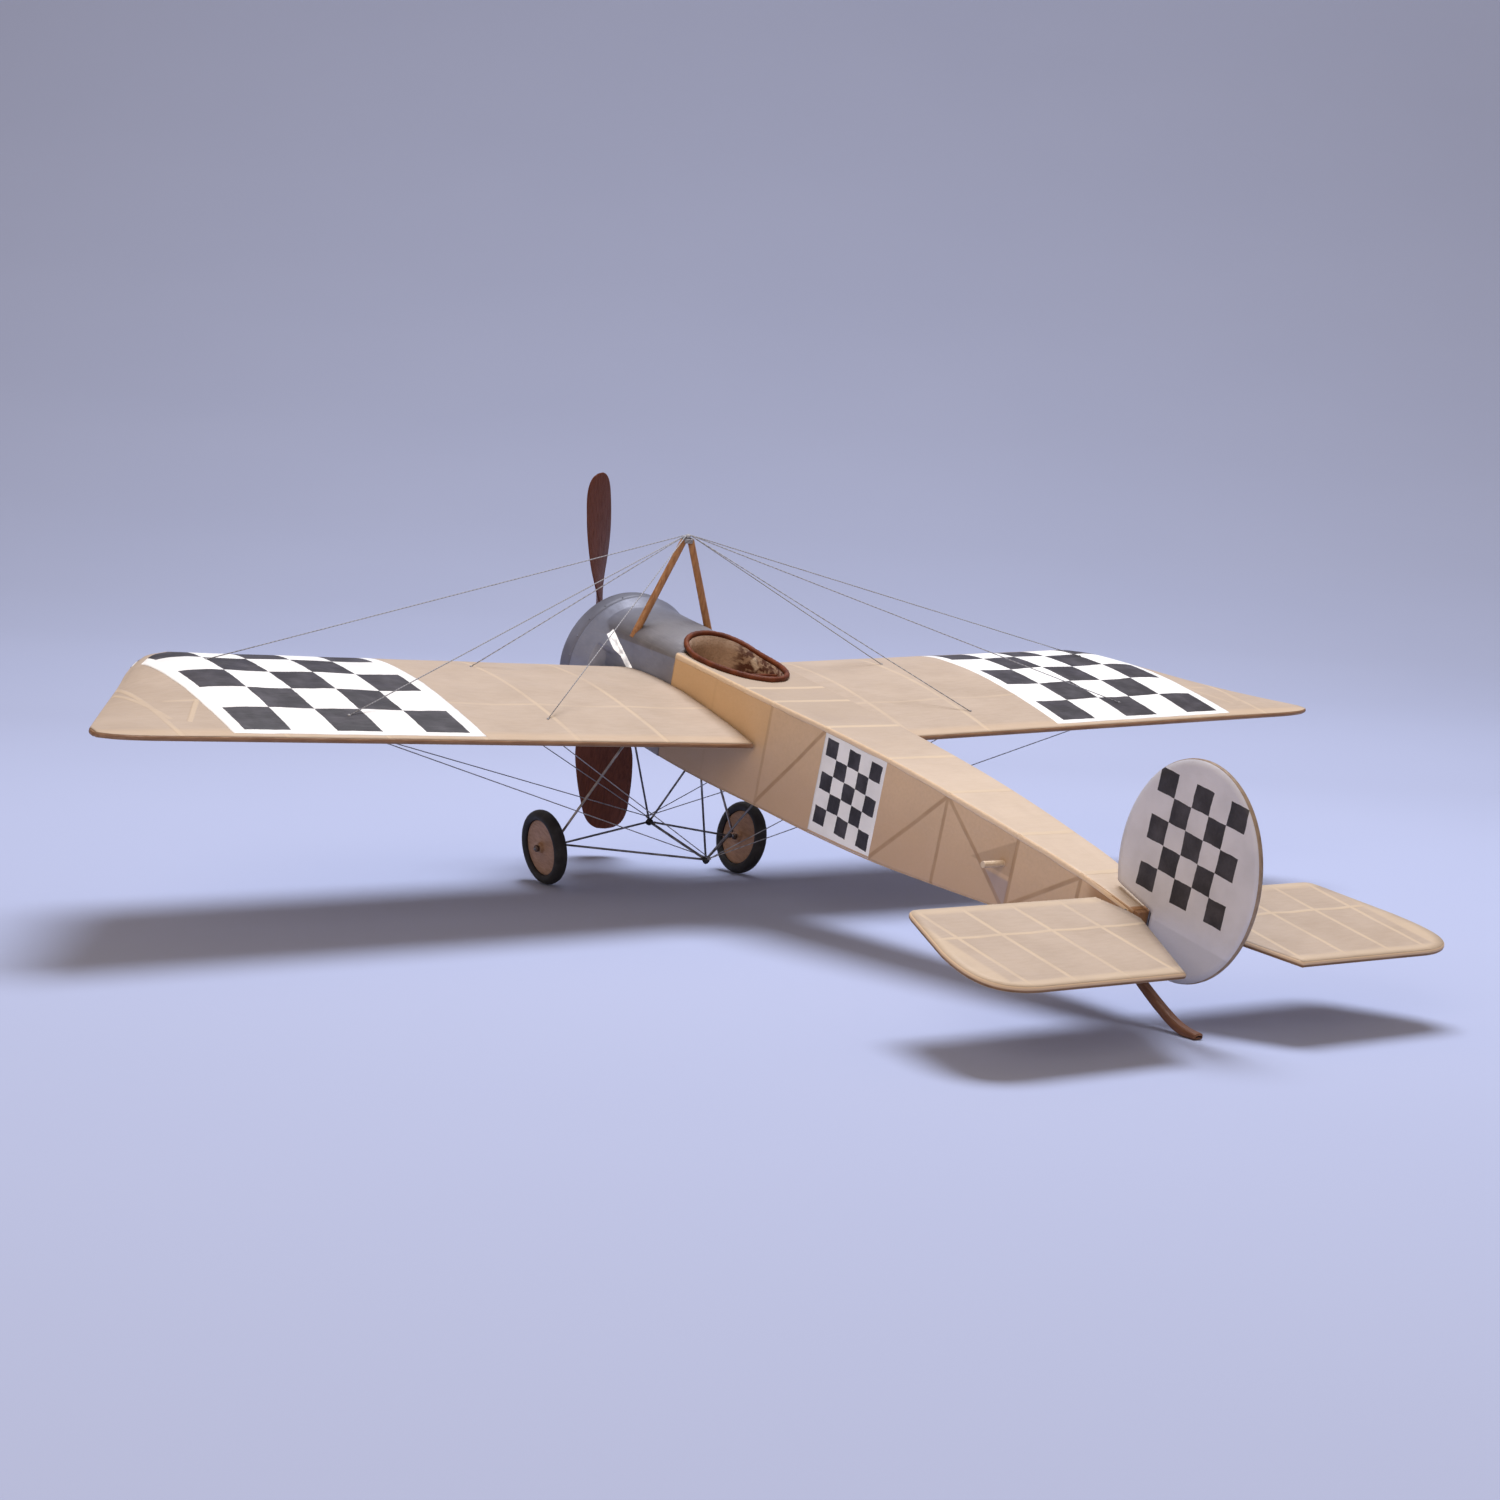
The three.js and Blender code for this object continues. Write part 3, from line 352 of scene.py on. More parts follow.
class Finish:
    """A Principled material whose patterns are laid out in airframe millimetres."""

    def __init__(self, name, metallic=0.0, coat=0.0, sheen=0.0, specular=0.5):
        self.material = bpy.data.materials.new(name)
        self.material.use_nodes = True
        self.tree = self.material.node_tree
        self.tree.nodes.clear()
        self.shader = self.tree.nodes.new("ShaderNodeBsdfPrincipled")
        output = self.tree.nodes.new("ShaderNodeOutputMaterial")
        self.tree.links.new(self.shader.outputs[0], output.inputs[0])
        self.shader.inputs["Metallic"].default_value = metallic
        self.shader.inputs["Coat Weight"].default_value = coat
        self.shader.inputs["Sheen Weight"].default_value = sheen
        self.shader.inputs["Specular IOR Level"].default_value = specular
        place = self.tree.nodes.new("ShaderNodeTexCoord")
        mapping = self.tree.nodes.new("ShaderNodeMapping")
        mapping.vector_type = "TEXTURE"
        mapping.inputs["Location"].default_value = ORIGIN
        mapping.inputs["Rotation"].default_value = (-SIT, 0, 0)
        mapping.inputs["Scale"].default_value = (MM, MM, MM)
        self.tree.links.new(place.outputs["Object"], mapping.inputs["Vector"])
        self.vector = mapping.outputs["Vector"]
        split = self.tree.nodes.new("ShaderNodeSeparateXYZ")
        self.tree.links.new(self.vector, split.inputs[0])
        self.x, self.y, self.z = (Field(self.tree, split.outputs[i]) for i in range(3))

    def noise(self, size, stretch=(1, 1, 1), detail=3.0, roughness=0.55, seed=0.0):
        """Noise from 0 to 1 whose lumps are about size millimetres, longer along a stretched axis."""
        scale = self.tree.nodes.new("ShaderNodeMapping")
        scale.inputs["Scale"].default_value = [1 / (size * s) for s in stretch]
        scale.inputs["Location"].default_value = (seed, seed * 1.7, seed * 0.6)
        self.tree.links.new(self.vector, scale.inputs["Vector"])
        node = self.tree.nodes.new("ShaderNodeTexNoise")
        node.inputs["Scale"].default_value = 1.0
        node.inputs["Detail"].default_value = detail
        node.inputs["Roughness"].default_value = roughness
        self.tree.links.new(scale.outputs[0], node.inputs["Vector"])
        return Field(self.tree, node.outputs["Fac"])

    def sideways(self):
        """1 where the surface faces left or right, 0 where it faces up or aft."""
        normal = self.tree.nodes.new("ShaderNodeNewGeometry")
        split = self.tree.nodes.new("ShaderNodeSeparateXYZ")
        self.tree.links.new(normal.outputs["Normal"], split.inputs[0])
        return abs(Field(self.tree, split.outputs[0]))

    def mix(self, first, second, share):
        """A colour between two colours; each is an RGB tuple or the result of another mix."""
        node = self.tree.nodes.new("ShaderNodeMix")
        node.data_type = "RGBA"
        sockets = [s for s in node.inputs if s.type == "RGBA"]
        for socket, value in zip(sockets, (first, second)):
            if isinstance(value, tuple):
                socket.default_value = (*value, 1)
            else:
                self.tree.links.new(value, socket)
        self.tree.links.new(share.socket, node.inputs[0])
        return next(s for s in node.outputs if s.type == "RGBA")

    def color(self, socket):
        self.tree.links.new(socket, self.shader.inputs["Base Color"])

    def roughness(self, value):
        if isinstance(value, Field):
            self.tree.links.new(value.socket, self.shader.inputs["Roughness"])
        else:
            self.shader.inputs["Roughness"].default_value = value

    def bump(self, height, depth):
        """Relief of a height field from 0 to 1, depth in millimetres."""
        node = self.tree.nodes.new("ShaderNodeBump")
        node.inputs["Strength"].default_value = 1.0
        node.inputs["Distance"].default_value = depth * MM
        self.tree.links.new(height.socket, node.inputs["Height"])
        self.tree.links.new(node.outputs[0], self.shader.inputs["Normal"])


def band(at, place, width, soft=0.6):
    """1 on a line of this width at a place, 0 off it, with soft edges."""
    return abs(at - place).ramp(width / 2, width / 2 + soft, 1, 0)


def slanted_band(across, along, start, end, width, soft=0.6):
    """1 on the stretch of line from start to end, each (across, along) in the two given fields."""
    (a0, b0), (a1, b1) = start, end
    length = math.hypot(a1 - a0, b1 - b0)
    off = ((across - a0) * (b1 - b0) - (along - b0) * (a1 - a0)) / length
    run = ((across - a0) * (a1 - a0) + (along - b0) * (b1 - b0)) / length
    inside = run.ramp(-1, 0) * run.ramp(length, length + 1, 1, 0)
    return abs(off).ramp(width / 2, width / 2 + soft, 1, 0) * inside


def total(fields):
    result = fields[0]
    for field in fields[1:]:
        result = result.most(field)
    return result


# ---- finishes ----
TISSUE_LIGHT, TISSUE_DARK = (0.48, 0.386, 0.31), (0.403, 0.314, 0.241)
RIB_LIGHT = (0.62, 0.49, 0.35)
# Painted shadow: the dark colour of the sticks seen through the sides' tissue.
STICK_SHADOW = (0.36, 0.22, 0.12)
WHITE, SOOT = (0.92, 0.92, 0.92), (0.024, 0.022, 0.028)


def tissue_ground(f):
    """The doped tissue's mottled tan, with fine fibres."""
    mottle = f.noise(26, (1.5, 1, 1), 4).ramp(0.3, 0.75)
    fibre = f.noise(1.6, (6, 1, 1), 3, seed=4).ramp(0.35, 0.7)
    base = f.mix(TISSUE_LIGHT, TISSUE_DARK, mottle * 0.55 + fibre * 0.3)
    return base, fibre


def doped(f, lines, fibre, wrinkles, depth=0.5, dull=(0.5, 0.66)):
    """The uneven shine of doped tissue, and the relief of the sticks, fibres and wrinkles in it."""
    f.roughness(f.noise(14, detail=2, seed=2).ramp(0.3, 0.7, *dull))
    f.bump(lines + fibre * 0.12 + wrinkles, depth)


def wing_tissue():
    f = Finish("wing_tissue", specular=0.28)
    base, fibre = tissue_ground(f)
    span = abs(f.x)
    ribs = total([band(span, x, 1.5, 1.2) for x in RIBS[1:]])
    spars = band(f.y, 100.5, 1.3, 1.0) * span.ramp(330, 334, 1, 0)
    bows = total([slanted_band(span, f.y, (347, 79), (338, 123), 1.5, 1.0),
                  slanted_band(span, f.y, (315, 100), (330, 127), 1.5, 1.0)])
    edge = f.y.ramp(134, 139.5) * 0.35
    fade = f.noise(34, detail=2, seed=9).ramp(0.25, 0.65, 0.35, 1)
    lines = total([ribs, spars * 0.7, bows]) * fade * f.y.ramp(8, 30, 0.2, 1)
    f.color(f.mix(f.mix(base, RIB_LIGHT, lines * 0.55), (0.62, 0.45, 0.29), edge))
    doped(f, lines * 0.5, fibre, f.noise(9, (2.5, 1, 1), 4, seed=5) * 0.7)
    return f.material


def top_tissue():
    f = Finish("fuselage_top_tissue", specular=0.28)
    base, fibre = tissue_ground(f)
    lines = total([band(f.y, y, 2.0, 1.2) for y in (128, *UPRIGHTS[1:])])
    rails = f.noise(40, detail=1).ramp(0, 1, 0.6, 1)
    # Lighter where the tissue wraps down over the rails and faces sideways: partly the pale rail behind it,
    # partly painted light on the rounded edge.
    wrapped, bare = f.sideways().ramp(0.25, 0.7), f.y.ramp(408.6, 409.8)
    base = f.mix(base, TISSUE_DARK, f.y.ramp(120, 250, 0.6, 0))
    base = f.mix(base, (0.86, 0.70, 0.54), f.y.ramp(180, 300) * 0.3)
    tissue = f.mix(f.mix(base, RIB_LIGHT, lines * 0.85 * rails), (0.80, 0.62, 0.44), wrapped * 0.9)
    f.color(f.mix(tissue, (0.36, 0.19, 0.09), bare))
    doped(f, lines * 0.5, fibre, f.noise(9, (1, 2.5, 1), 4, seed=5) * 0.7)
    return f.material


def side_tissue():
    """The sides, with painted shade: darker low down and at the rear end, with the sticks' shadows through
    the tissue as darker lines.
    """
    f = Finish("fuselage_side_tissue", specular=0.28)
    _, fibre = tissue_ground(f)
    mottle = f.noise(26, (1, 1.5, 1), 4).ramp(0.3, 0.75)
    # Painted shade: the lower colour towards the bottom, where the wing shades the side.
    upper, lower = (0.715, 0.51, 0.33), (0.57, 0.39, 0.26)
    height = (f.z - f.y * 0.03).ramp(-26, 20)
    base = f.mix(f.mix(lower, upper, height), (0.54, 0.385, 0.255), mottle * 0.35 + fibre * 0.2)
    front = (f.y - 152).ramp(-2, 2, 1, 0)
    base = f.mix(base, (0.68, 0.43, 0.205), front * f.z.ramp(-12, 14) * 0.55)
    # Painted shadow: the sticks behind the tissue show as darker lines, fainter at 103 and 152.
    strength = {103: 0.12, 152: 0.55}
    posts = [band(f.y, y, 1.1, 0.9) * strength.get(y, 1.0) for y in UPRIGHTS if y not in (196, 245)]
    slopes = [slanted_band(f.y, f.z, (low, table_at(FUSELAGE, low, 3) + 2),
                           (high, table_at(FUSELAGE, high, 2) - 2), 1.1, 0.9) for low, high in DIAGONALS]
    plate = ((f.y - 313) * 0.64 - (f.z - 7)).ramp(-0.6, 0.6) * f.z.ramp(6.4, 7.4)
    window = (f.y - 338 + (f.z + 9) * 1.24).ramp(0, 1.2) * f.z.ramp(4.0, 5.6, 1, 0)
    before_post = (341 - f.y).ramp(0, 0.8)
    lines = total([*posts, *slopes]) * f.noise(18, detail=2, seed=7).ramp(0.2, 0.7, 0.45, 0.8)
    # Painted shade: the sides turn dark brown towards their rear end.
    tail = f.y.ramp(384, 392) * 0.8
    patched = f.mix(f.mix(base, (0.36, 0.24, 0.155), plate * before_post * 0.45), (0.36, 0.29, 0.29),
                    window * before_post * 0.7)
    shade = f.mix(patched, (0.36, 0.20, 0.10), tail)
    f.color(f.mix(shade, STICK_SHADOW, lines))
    doped(f, lines * 0.4, fibre, f.noise(11, (1, 1.6, 1), 4, seed=5) * 0.8)
    return f.material


def tail_tissue():
    f = Finish("tail_tissue", specular=0.28)
    base, fibre = tissue_ground(f)
    span = abs(f.x)
    ribs = total([band(span, x, 1.3, 1.0) for x in TAIL_RIBS])
    spars = band(f.y, 425, 1.3, 1.0)
    border = total([span.ramp(124, 127), f.y.ramp(468, 471), f.y.ramp(398, 402, 1, 0)])
    lines = total([ribs, spars, border * 0.8]) * f.noise(24, detail=1, seed=12).ramp(0.2, 0.6, 0.5, 1)
    f.color(f.mix(base, RIB_LIGHT, lines * 0.7))
    doped(f, lines * 0.5, fibre, f.noise(8, (2, 1, 1), 4, seed=6) * 0.6, 0.4)
    return f.material


def tail_edge():
    """The elevators' border: tissue colour above, dark bare wood below."""
    f = Finish("tail_edge_wood", specular=0.25)
    grain = f.noise(2, (5, 3, 1), 3).ramp(0.3, 0.7)
    wood_tone = f.mix((0.27, 0.15, 0.075), (0.18, 0.095, 0.045), grain)
    f.color(f.mix(wood_tone, (0.66, 0.49, 0.33), f.z.ramp(17.2, 18.0)))
    f.roughness(grain * 0.1 + 0.55)
    return f.material


def chequered(name, across, along, centre, square, count, white=WHITE, bare_below=None):
    """Painted white tissue with a centred black chequer. across and along name two airframe axes."""
    f = Finish(name, specular=0.35)
    fields = {"x": abs(f.x), "y": f.y, "z": f.z}
    waver = (f.noise(7, detail=2, seed=11) - 0.5) * 1.1
    a = (fields[across] - centre[0] + waver) / square[0] + count[0] / 2
    b = (fields[along] - centre[1] - waver) / square[1] + count[1] / 2
    inside = a.above(0) * a.below(count[0]) * b.above(0) * b.below(count[1])
    parity = (a.math("FLOOR") + b.math("FLOOR")).math("PINGPONG", 1.0)
    dark = inside * (1 - parity)
    fibre = f.noise(1.6, (6, 1, 1), 3, seed=4).ramp(0.35, 0.7)
    dust = f.noise(12, detail=4, seed=3).ramp(0.35, 0.8) * 0.8 + fibre * 0.1
    dusty, shaded = f.mix(SOOT, (0.075, 0.07, 0.085), dust), tuple(c * 0.86 for c in white)
    pale = f.mix(white, shaded, f.noise(22, detail=3, seed=1).ramp(0.35, 0.75))
    if bare_below is not None:
        pale = f.mix(shaded, pale, f.z.ramp(bare_below - 0.6, bare_below + 0.6))
    f.color(f.mix(pale, dusty, dark))
    doped(f, dark * 0.06, fibre, f.noise(8, (2, 1, 1), 4, seed=5) * 0.8, 0.45, (0.42, 0.58))
    return f.material


def wood(name, light, dark, along, size=1.4, coat=0.0, rough_from=0.45, specular=0.4):
    """Straight-grained wood; along is the stretch of the grain on x, y and z."""
    f = Finish(name, coat=coat, specular=specular)
    grain = f.noise(size, along, 5, 0.65).ramp(0.35, 0.68)
    tone = f.noise(size * 14, along, 2, seed=3)
    f.color(f.mix(light, dark, grain * 0.65 + tone * 0.35))
    f.roughness(grain * 0.16 + rough_from)
    f.bump(grain, 0.12)
    return f.material


def tin():
    """Sheet metal: neutral grey on the arched deck, bluer on the flat sides and browner low at their
    rear, with painted shade on the cone's top and a painted highlight streak, which glows a little, where
    each cheek meets the side."""
    f = Finish("formed_metal")
    smear = f.noise(17, (1, 1.4, 1), 5, 0.6, seed=2).ramp(0.3, 0.75)
    scratch = f.noise(0.9, (1, 14, 1), 3, seed=8).ramp(0.45, 0.75)
    spots = f.noise(5, detail=3, seed=5).ramp(0.62, 0.75)
    crease = (f.y - 18) * 0.104 + 17
    deck_share = (f.z - crease).ramp(-0.4, 0.4) * f.y.ramp(-14, 14)
    brown = (f.y * 0.9 - f.z).ramp(26, 66) * f.y.ramp(14, 30)
    deck = f.mix((0.23, 0.225, 0.25), (0.165, 0.16, 0.18), smear)
    flank = f.mix(f.mix((0.28, 0.31, 0.43), (0.20, 0.225, 0.32), smear), (0.24, 0.19, 0.16), brown * 0.8)
    sheet = f.mix(f.mix(flank, deck, deck_share), (0.46, 0.44, 0.44), scratch * 0.12 + spots * 0.12)
    # Painted shade: the cone's top is darkened, which dims the highlight the overhead lamp makes there.
    sheet = f.mix(sheet, (0.10, 0.10, 0.125), f.y.ramp(14, 30, 1, 0) * f.z.ramp(6, 30) * 0.7)
    # Painted highlight: a streaked bright band on each cheek, not metallic and with emission, so it glows
    # like a reflection of the lamp.
    waver = (f.noise(4, detail=2, seed=6) - 0.5) * 1.6
    streaks = f.noise(1.5, (1, 5, 5), 2, seed=9).ramp(0.3, 0.55, 0.45, 1)
    across = slanted_band(f.y + waver, f.z, (0.5, 16.6), (23.5, 3.0), 3.6, 0.5)
    painted_glint = across * abs(f.x).ramp(20, 22) * streaks
    f.color(f.mix(sheet, (0.97, 0.97, 0.98), painted_glint))
    f.tree.links.new((0.35 - painted_glint * 0.35).socket, f.shader.inputs["Metallic"])
    f.tree.links.new((painted_glint * 0.6).socket, f.shader.inputs["Emission Strength"])
    f.shader.inputs["Emission Color"].default_value = (0.93, 0.95, 1.0, 1)
    f.roughness(smear * 0.12 + scratch * 0.06 + 0.44)
    f.bump(f.noise(13, detail=2, seed=4) + scratch * 0.03, 0.5)
    return f.material


def cowl_tin():
    f = Finish("cowl_metal", metallic=0.3)
    smear = f.noise(22, detail=3, seed=2).ramp(0.3, 0.75)
    scratch = f.noise(0.8, (1, 12, 1), 3, seed=8).ramp(0.5, 0.8)
    sheet = f.mix((0.23, 0.25, 0.33), (0.17, 0.18, 0.25), smear)
    # Painted shade: the cowl darkens towards its top, which dims the highlight the overhead lamp makes there.
    f.color(f.mix(sheet, (0.085, 0.088, 0.11), f.z.ramp(6, 34) * 0.75))
    f.roughness(smear * 0.10 + scratch * 0.08 + 0.54)
    f.bump(f.noise(15, detail=2, seed=4) + scratch * 0.02, 0.35)
    return f.material


def metal(name, light, dark, rough_low=0.28, rough_high=0.5):
    f = Finish(name, metallic=1.0)
    wear = f.noise(4.8, detail=4).ramp(0.3, 0.7)
    f.color(f.mix(light, dark, wear))
    f.roughness(wear * (rough_high - rough_low) + rough_low)
    f.bump(f.noise(1.2, detail=3, seed=2), 0.08)
    return f.material


def leather():
    f = Finish("rim_leather", specular=0.2)
    pores = f.noise(1.1, detail=4, roughness=0.7)
    patches = f.noise(7, detail=3, seed=3).ramp(0.3, 0.75)
    # Lighter red patches, spread at random.
    lighter_patch = f.noise(15, detail=2, seed=8).ramp(0.5, 0.8)
    base = f.mix((0.085, 0.018, 0.006), (0.17, 0.042, 0.013), patches)
    f.color(f.mix(base, (0.27, 0.085, 0.03), lighter_patch * 0.5))
    f.roughness(pores * 0.2 + 0.38)
    f.bump(pores, 0.35)
    return f.material


def cockpit_inside():
    """Brown lining with dark blots and one pale spot at the right rear."""
    f = Finish("cockpit_inside")
    patches = f.noise(11, (1, 1, 2), 3).ramp(0.3, 0.75)
    grain = f.noise(1.2, (1, 9, 1), 4, seed=2).ramp(0.35, 0.7)
    leather = f.mix((0.48, 0.33, 0.235), (0.31, 0.20, 0.13), patches * 0.7 + grain * 0.3)
    rear = f.x.ramp(-8, -3, 1, 0) * f.y.ramp(56, 63)
    blots = f.noise(5, (1, 1, 0.6), 3, seed=5).ramp(0.38, 0.56)
    patchy = f.noise(4, detail=2, seed=7).ramp(0.3, 0.6)
    # A pale spot, placed at the right rear of the lining.
    lighter_patch = slanted_band(f.y, f.z, (70, 23.5), (74.5, 19.5), 2.4, 2.2) * rear * patchy
    f.color(f.mix(f.mix(leather, (0.09, 0.026, 0.011), blots * rear), (0.66, 0.54, 0.42), lighter_patch * 0.9))
    f.roughness(grain * 0.15 + 0.55)
    f.bump(grain, 0.15)
    return f.material


def rubber(name, light, dark):
    f = Finish(name)
    dust = f.noise(6, detail=4).ramp(0.4, 0.8)
    f.color(f.mix(dark, light, dust))
    f.roughness(dust * 0.12 + 0.72)
    f.bump(f.noise(1, detail=3, seed=2), 0.1)
    return f.material


def thread():
    f = Finish("grey_thread", sheen=0.2)
    twist = ((f.x + f.y + f.z) * 3.2).math("SINE").ramp(-1, 1)
    f.color(f.mix((0.22, 0.225, 0.26), (0.38, 0.39, 0.43), twist))
    f.roughness(0.7)
    f.bump(twist, 0.06)
    return f.material


FINISH = {
    "wing": wing_tissue(), "top": top_tissue(), "side": side_tissue(), "tail": tail_tissue(),
    "wing_panel": chequered("wing_panel_paint", "x", "y", (248.6, 73), (23.6, 25.6), (5, 5)),
    "side_panel": chequered("side_panel_paint", "y", "z", (220.5, 3.2), (8.6, 8.8), (5, 5)),
    "rudder_panel": chequered("rudder_paint", "y", "z", (431, 56), (11, 11), (5, 5),
                              (0.655, 0.65, 0.72), 17.5),
    "edge_wood": wood("edge_wood", (0.34, 0.19, 0.10), (0.20, 0.10, 0.05), (9, 1, 1)),
    "tail_wood": tail_edge(),
    "rudder_rim": wood("rudder_rim_wood", (0.34, 0.25, 0.17), (0.22, 0.15, 0.10), (1, 3, 3)),
    "balsa": wood("balsa_sticks", (0.72, 0.52, 0.30), (0.55, 0.35, 0.17), (1, 9, 1)),
    "post_wood": wood("post_wood", (0.50, 0.25, 0.10), (0.27, 0.11, 0.04), (1, 1, 9), coat=0.2),
    "stern_wood": wood("stern_wood", (0.36, 0.19, 0.09), (0.24, 0.12, 0.055), (1, 1, 5), specular=0.3),
    "skid_wood": wood("skid_wood", (0.23, 0.10, 0.052), (0.12, 0.05, 0.028), (1, 9, 3), specular=0.35),
    "prop_wood": wood("prop_wood", (0.155, 0.035, 0.010), (0.075, 0.016, 0.004), (1, 1, 12), size=1.1,
                      rough_from=0.46, specular=0.3),
    "disc_wood": wood("disc_wood", (0.46, 0.26, 0.15), (0.31, 0.17, 0.10), (1, 4, 1)),
    "tin": tin(), "cowl_tin": cowl_tin(),
    "dark_tin": metal("seam_metal", (0.16, 0.16, 0.18), (0.08, 0.08, 0.09), 0.35, 0.55),
    "collar": metal("collar_metal", (0.22, 0.16, 0.125), (0.12, 0.085, 0.07), 0.5, 0.7),
    "balsa_pale": wood("balsa_pale", (0.74, 0.60, 0.44), (0.60, 0.46, 0.32), (1, 1, 6)),
    "engine": metal("engine_metal", (0.30, 0.30, 0.32), (0.12, 0.12, 0.13)),
    "steel": metal("wire_steel", (0.26, 0.26, 0.29), (0.14, 0.14, 0.155), 0.35, 0.6),
    "strut": metal("strut_steel", (0.56, 0.51, 0.48), (0.36, 0.32, 0.30), 0.4, 0.6),
    "solder": metal("solder", (0.10, 0.10, 0.11), (0.04, 0.04, 0.045), 0.35, 0.6),
    "brass": metal("brass_bush", (0.62, 0.44, 0.20), (0.40, 0.27, 0.11), 0.25, 0.45),
    "leather": leather(), "cockpit": cockpit_inside(),
    "tyre": rubber("tyre_rubber", (0.045, 0.043, 0.045), (0.016, 0.015, 0.017)),
    "motor": rubber("motor_rubber", (0.55, 0.42, 0.26), (0.40, 0.29, 0.17)),
    "thread": thread(),
}


# ---- camera, light and floor ----
def camera():
    data = bpy.data.cameras.new("camera")
    data.lens, data.sensor_width = VIEW_LENS, 36
    data.clip_start, data.clip_end = 0.01, 100
    level, lean, tip = math.cos(VIEW_PITCH), math.cos(VIEW_ROLL), math.sin(VIEW_ROLL)
    ahead = Vector((-math.sin(VIEW_YAW) * level, -math.cos(VIEW_YAW) * level, -math.sin(VIEW_PITCH)))
    right = Vector((-math.cos(VIEW_YAW), math.sin(VIEW_YAW), 0))
    up = right.cross(ahead)
    right, up = lean * right + tip * up, lean * up - tip * right
    place = Matrix((right, up, -ahead)).transposed().to_4x4()
    place.translation = VIEW_FROM + ORIGIN
    seat = bpy.data.objects.new("camera", data)
    seat.matrix_world = place
    bpy.context.scene.collection.objects.link(seat)
    bpy.context.scene.camera = seat


def soft_light(name, place, target, size, power, color=(1, 1, 1)):
    data = bpy.data.lights.new(name, "AREA")
    data.shape, data.size, data.energy, data.color = "DISK", size, power, color
    lamp = bpy.data.objects.new(name, data)
    lamp.location = place
    lamp.rotation_euler = (Vector(target) - Vector(place)).to_track_quat("-Z", "Y").to_euler()
    bpy.context.scene.collection.objects.link(lamp)


def stage():
    """A pale floor that sweeps up into a backdrop far behind."""
    size, rise, steps = 9.0, 4.0, 12
    bend, under = 1.6, 0.0004
    profile = [(-size, 0.0), (bend, 0.0)]
    profile += [(bend + rise * math.sin(a), rise * (1 - math.cos(a)))
                for a in between(0.1, math.pi / 2, steps)]
    ahead = Vector((-math.sin(VIEW_YAW), -math.cos(VIEW_YAW), 0))
    across = Vector((math.cos(VIEW_YAW), -math.sin(VIEW_YAW), 0))
    points = [ahead * d + across * s + Vector((0, 0, h - under))
              for d, h in profile for s in (-size, size)]
    mesh = bpy.data.meshes.new("floor")
    mesh.from_pydata(points, [], grid_faces(len(profile), 2))
    mesh.update()
    floor = bpy.data.objects.new("floor", mesh)
    bpy.context.scene.collection.objects.link(floor)
    f = Finish("floor_paper", specular=0.2)
    f.color(f.mix((0.425, 0.475, 0.68), (0.405, 0.455, 0.66), f.noise(400, detail=2)))
    f.roughness(0.9)
    mesh.materials.append(f.material)
    mesh.polygons.foreach_set("use_smooth", [True] * len(mesh.polygons))


def light():
    world = bpy.data.worlds.new("studio")
    world.use_nodes = True
    background = world.node_tree.nodes["Background"]
    background.inputs["Color"].default_value = (0.98, 0.78, 0.60, 1)
    background.inputs["Strength"].default_value = 0.38
    bpy.context.scene.world = world
    bpy.context.scene.view_settings.view_transform = "Standard"
    soft_light("key", (-0.35, -0.25, 1.9), (0, 0, 0.1), 1.1, 41, (0.95, 0.98, 1.06))
    soft_light("fill", (2.2, 1.6, 1.3), (0, 0, 0.1), 1.8, 22, (1.06, 0.90, 0.74))
    soft_light("backdrop", (-0.35, -0.49, 2.6), (-2.64, -3.64, 2.9), 2.2, 75, (0.95, 0.98, 1.04))


# ---- wings ----
def chord_ends(x):
    return smooth_tip(TIP_LE, x), smooth_tip(TIP_TE, x)


def smooth_tip(table, x):
    if x < TIP_START:
        return table_at(table, x)
    return smooth_at([row for row in table if row[0] >= TIP_START], x)


def chord_line(x, y):
    rise = WING["dihedral"] * (x - WING["root"])
    return WING["te_height"] + rise - WING["incidence"] * (WING["chord"] - y)


def wing_top(x, y):
    le, te = chord_ends(x)
    share = (te - le) / WING["chord"]
    thin = 1 - 0.6 * ease(x, 296, WING["tip"])
    u = clamp((y - le) / (te - le))
    return chord_line(x, y) + WING["camber"] * WING["chord"] * smooth_at(CREST, u) * share * thin


def wing_under(x, y):
    le, te = chord_ends(x)
    u = clamp((y - le) / (te - le))
    hollow = WING["undercamber"] * math.sin(math.pi * u) * (te - le) / WING["chord"]
    return chord_line(x, y) - WING["te_thick"] + hollow


def tissue_sag(x, y):
    """How far the tissue pulls in between two ribs and between the edge pieces."""
    bay = (x - RIBS[0]) / RIB_PITCH
    across = math.sin(math.pi * (bay % 1)) ** 2 if bay < 6 else 0
    le, te = chord_ends(x)
    along = math.sin(math.pi * clamp((y - le - 8) / (te - le - 14))) ** 0.7 if te - le > 20 else 0
    crease = rough((x, y * 0.35, 3), 16, 2) * 0.16 + rough((x * 0.4, y, 9), 9, 4) * 0.10
    return 0.55 * across * along + crease * along


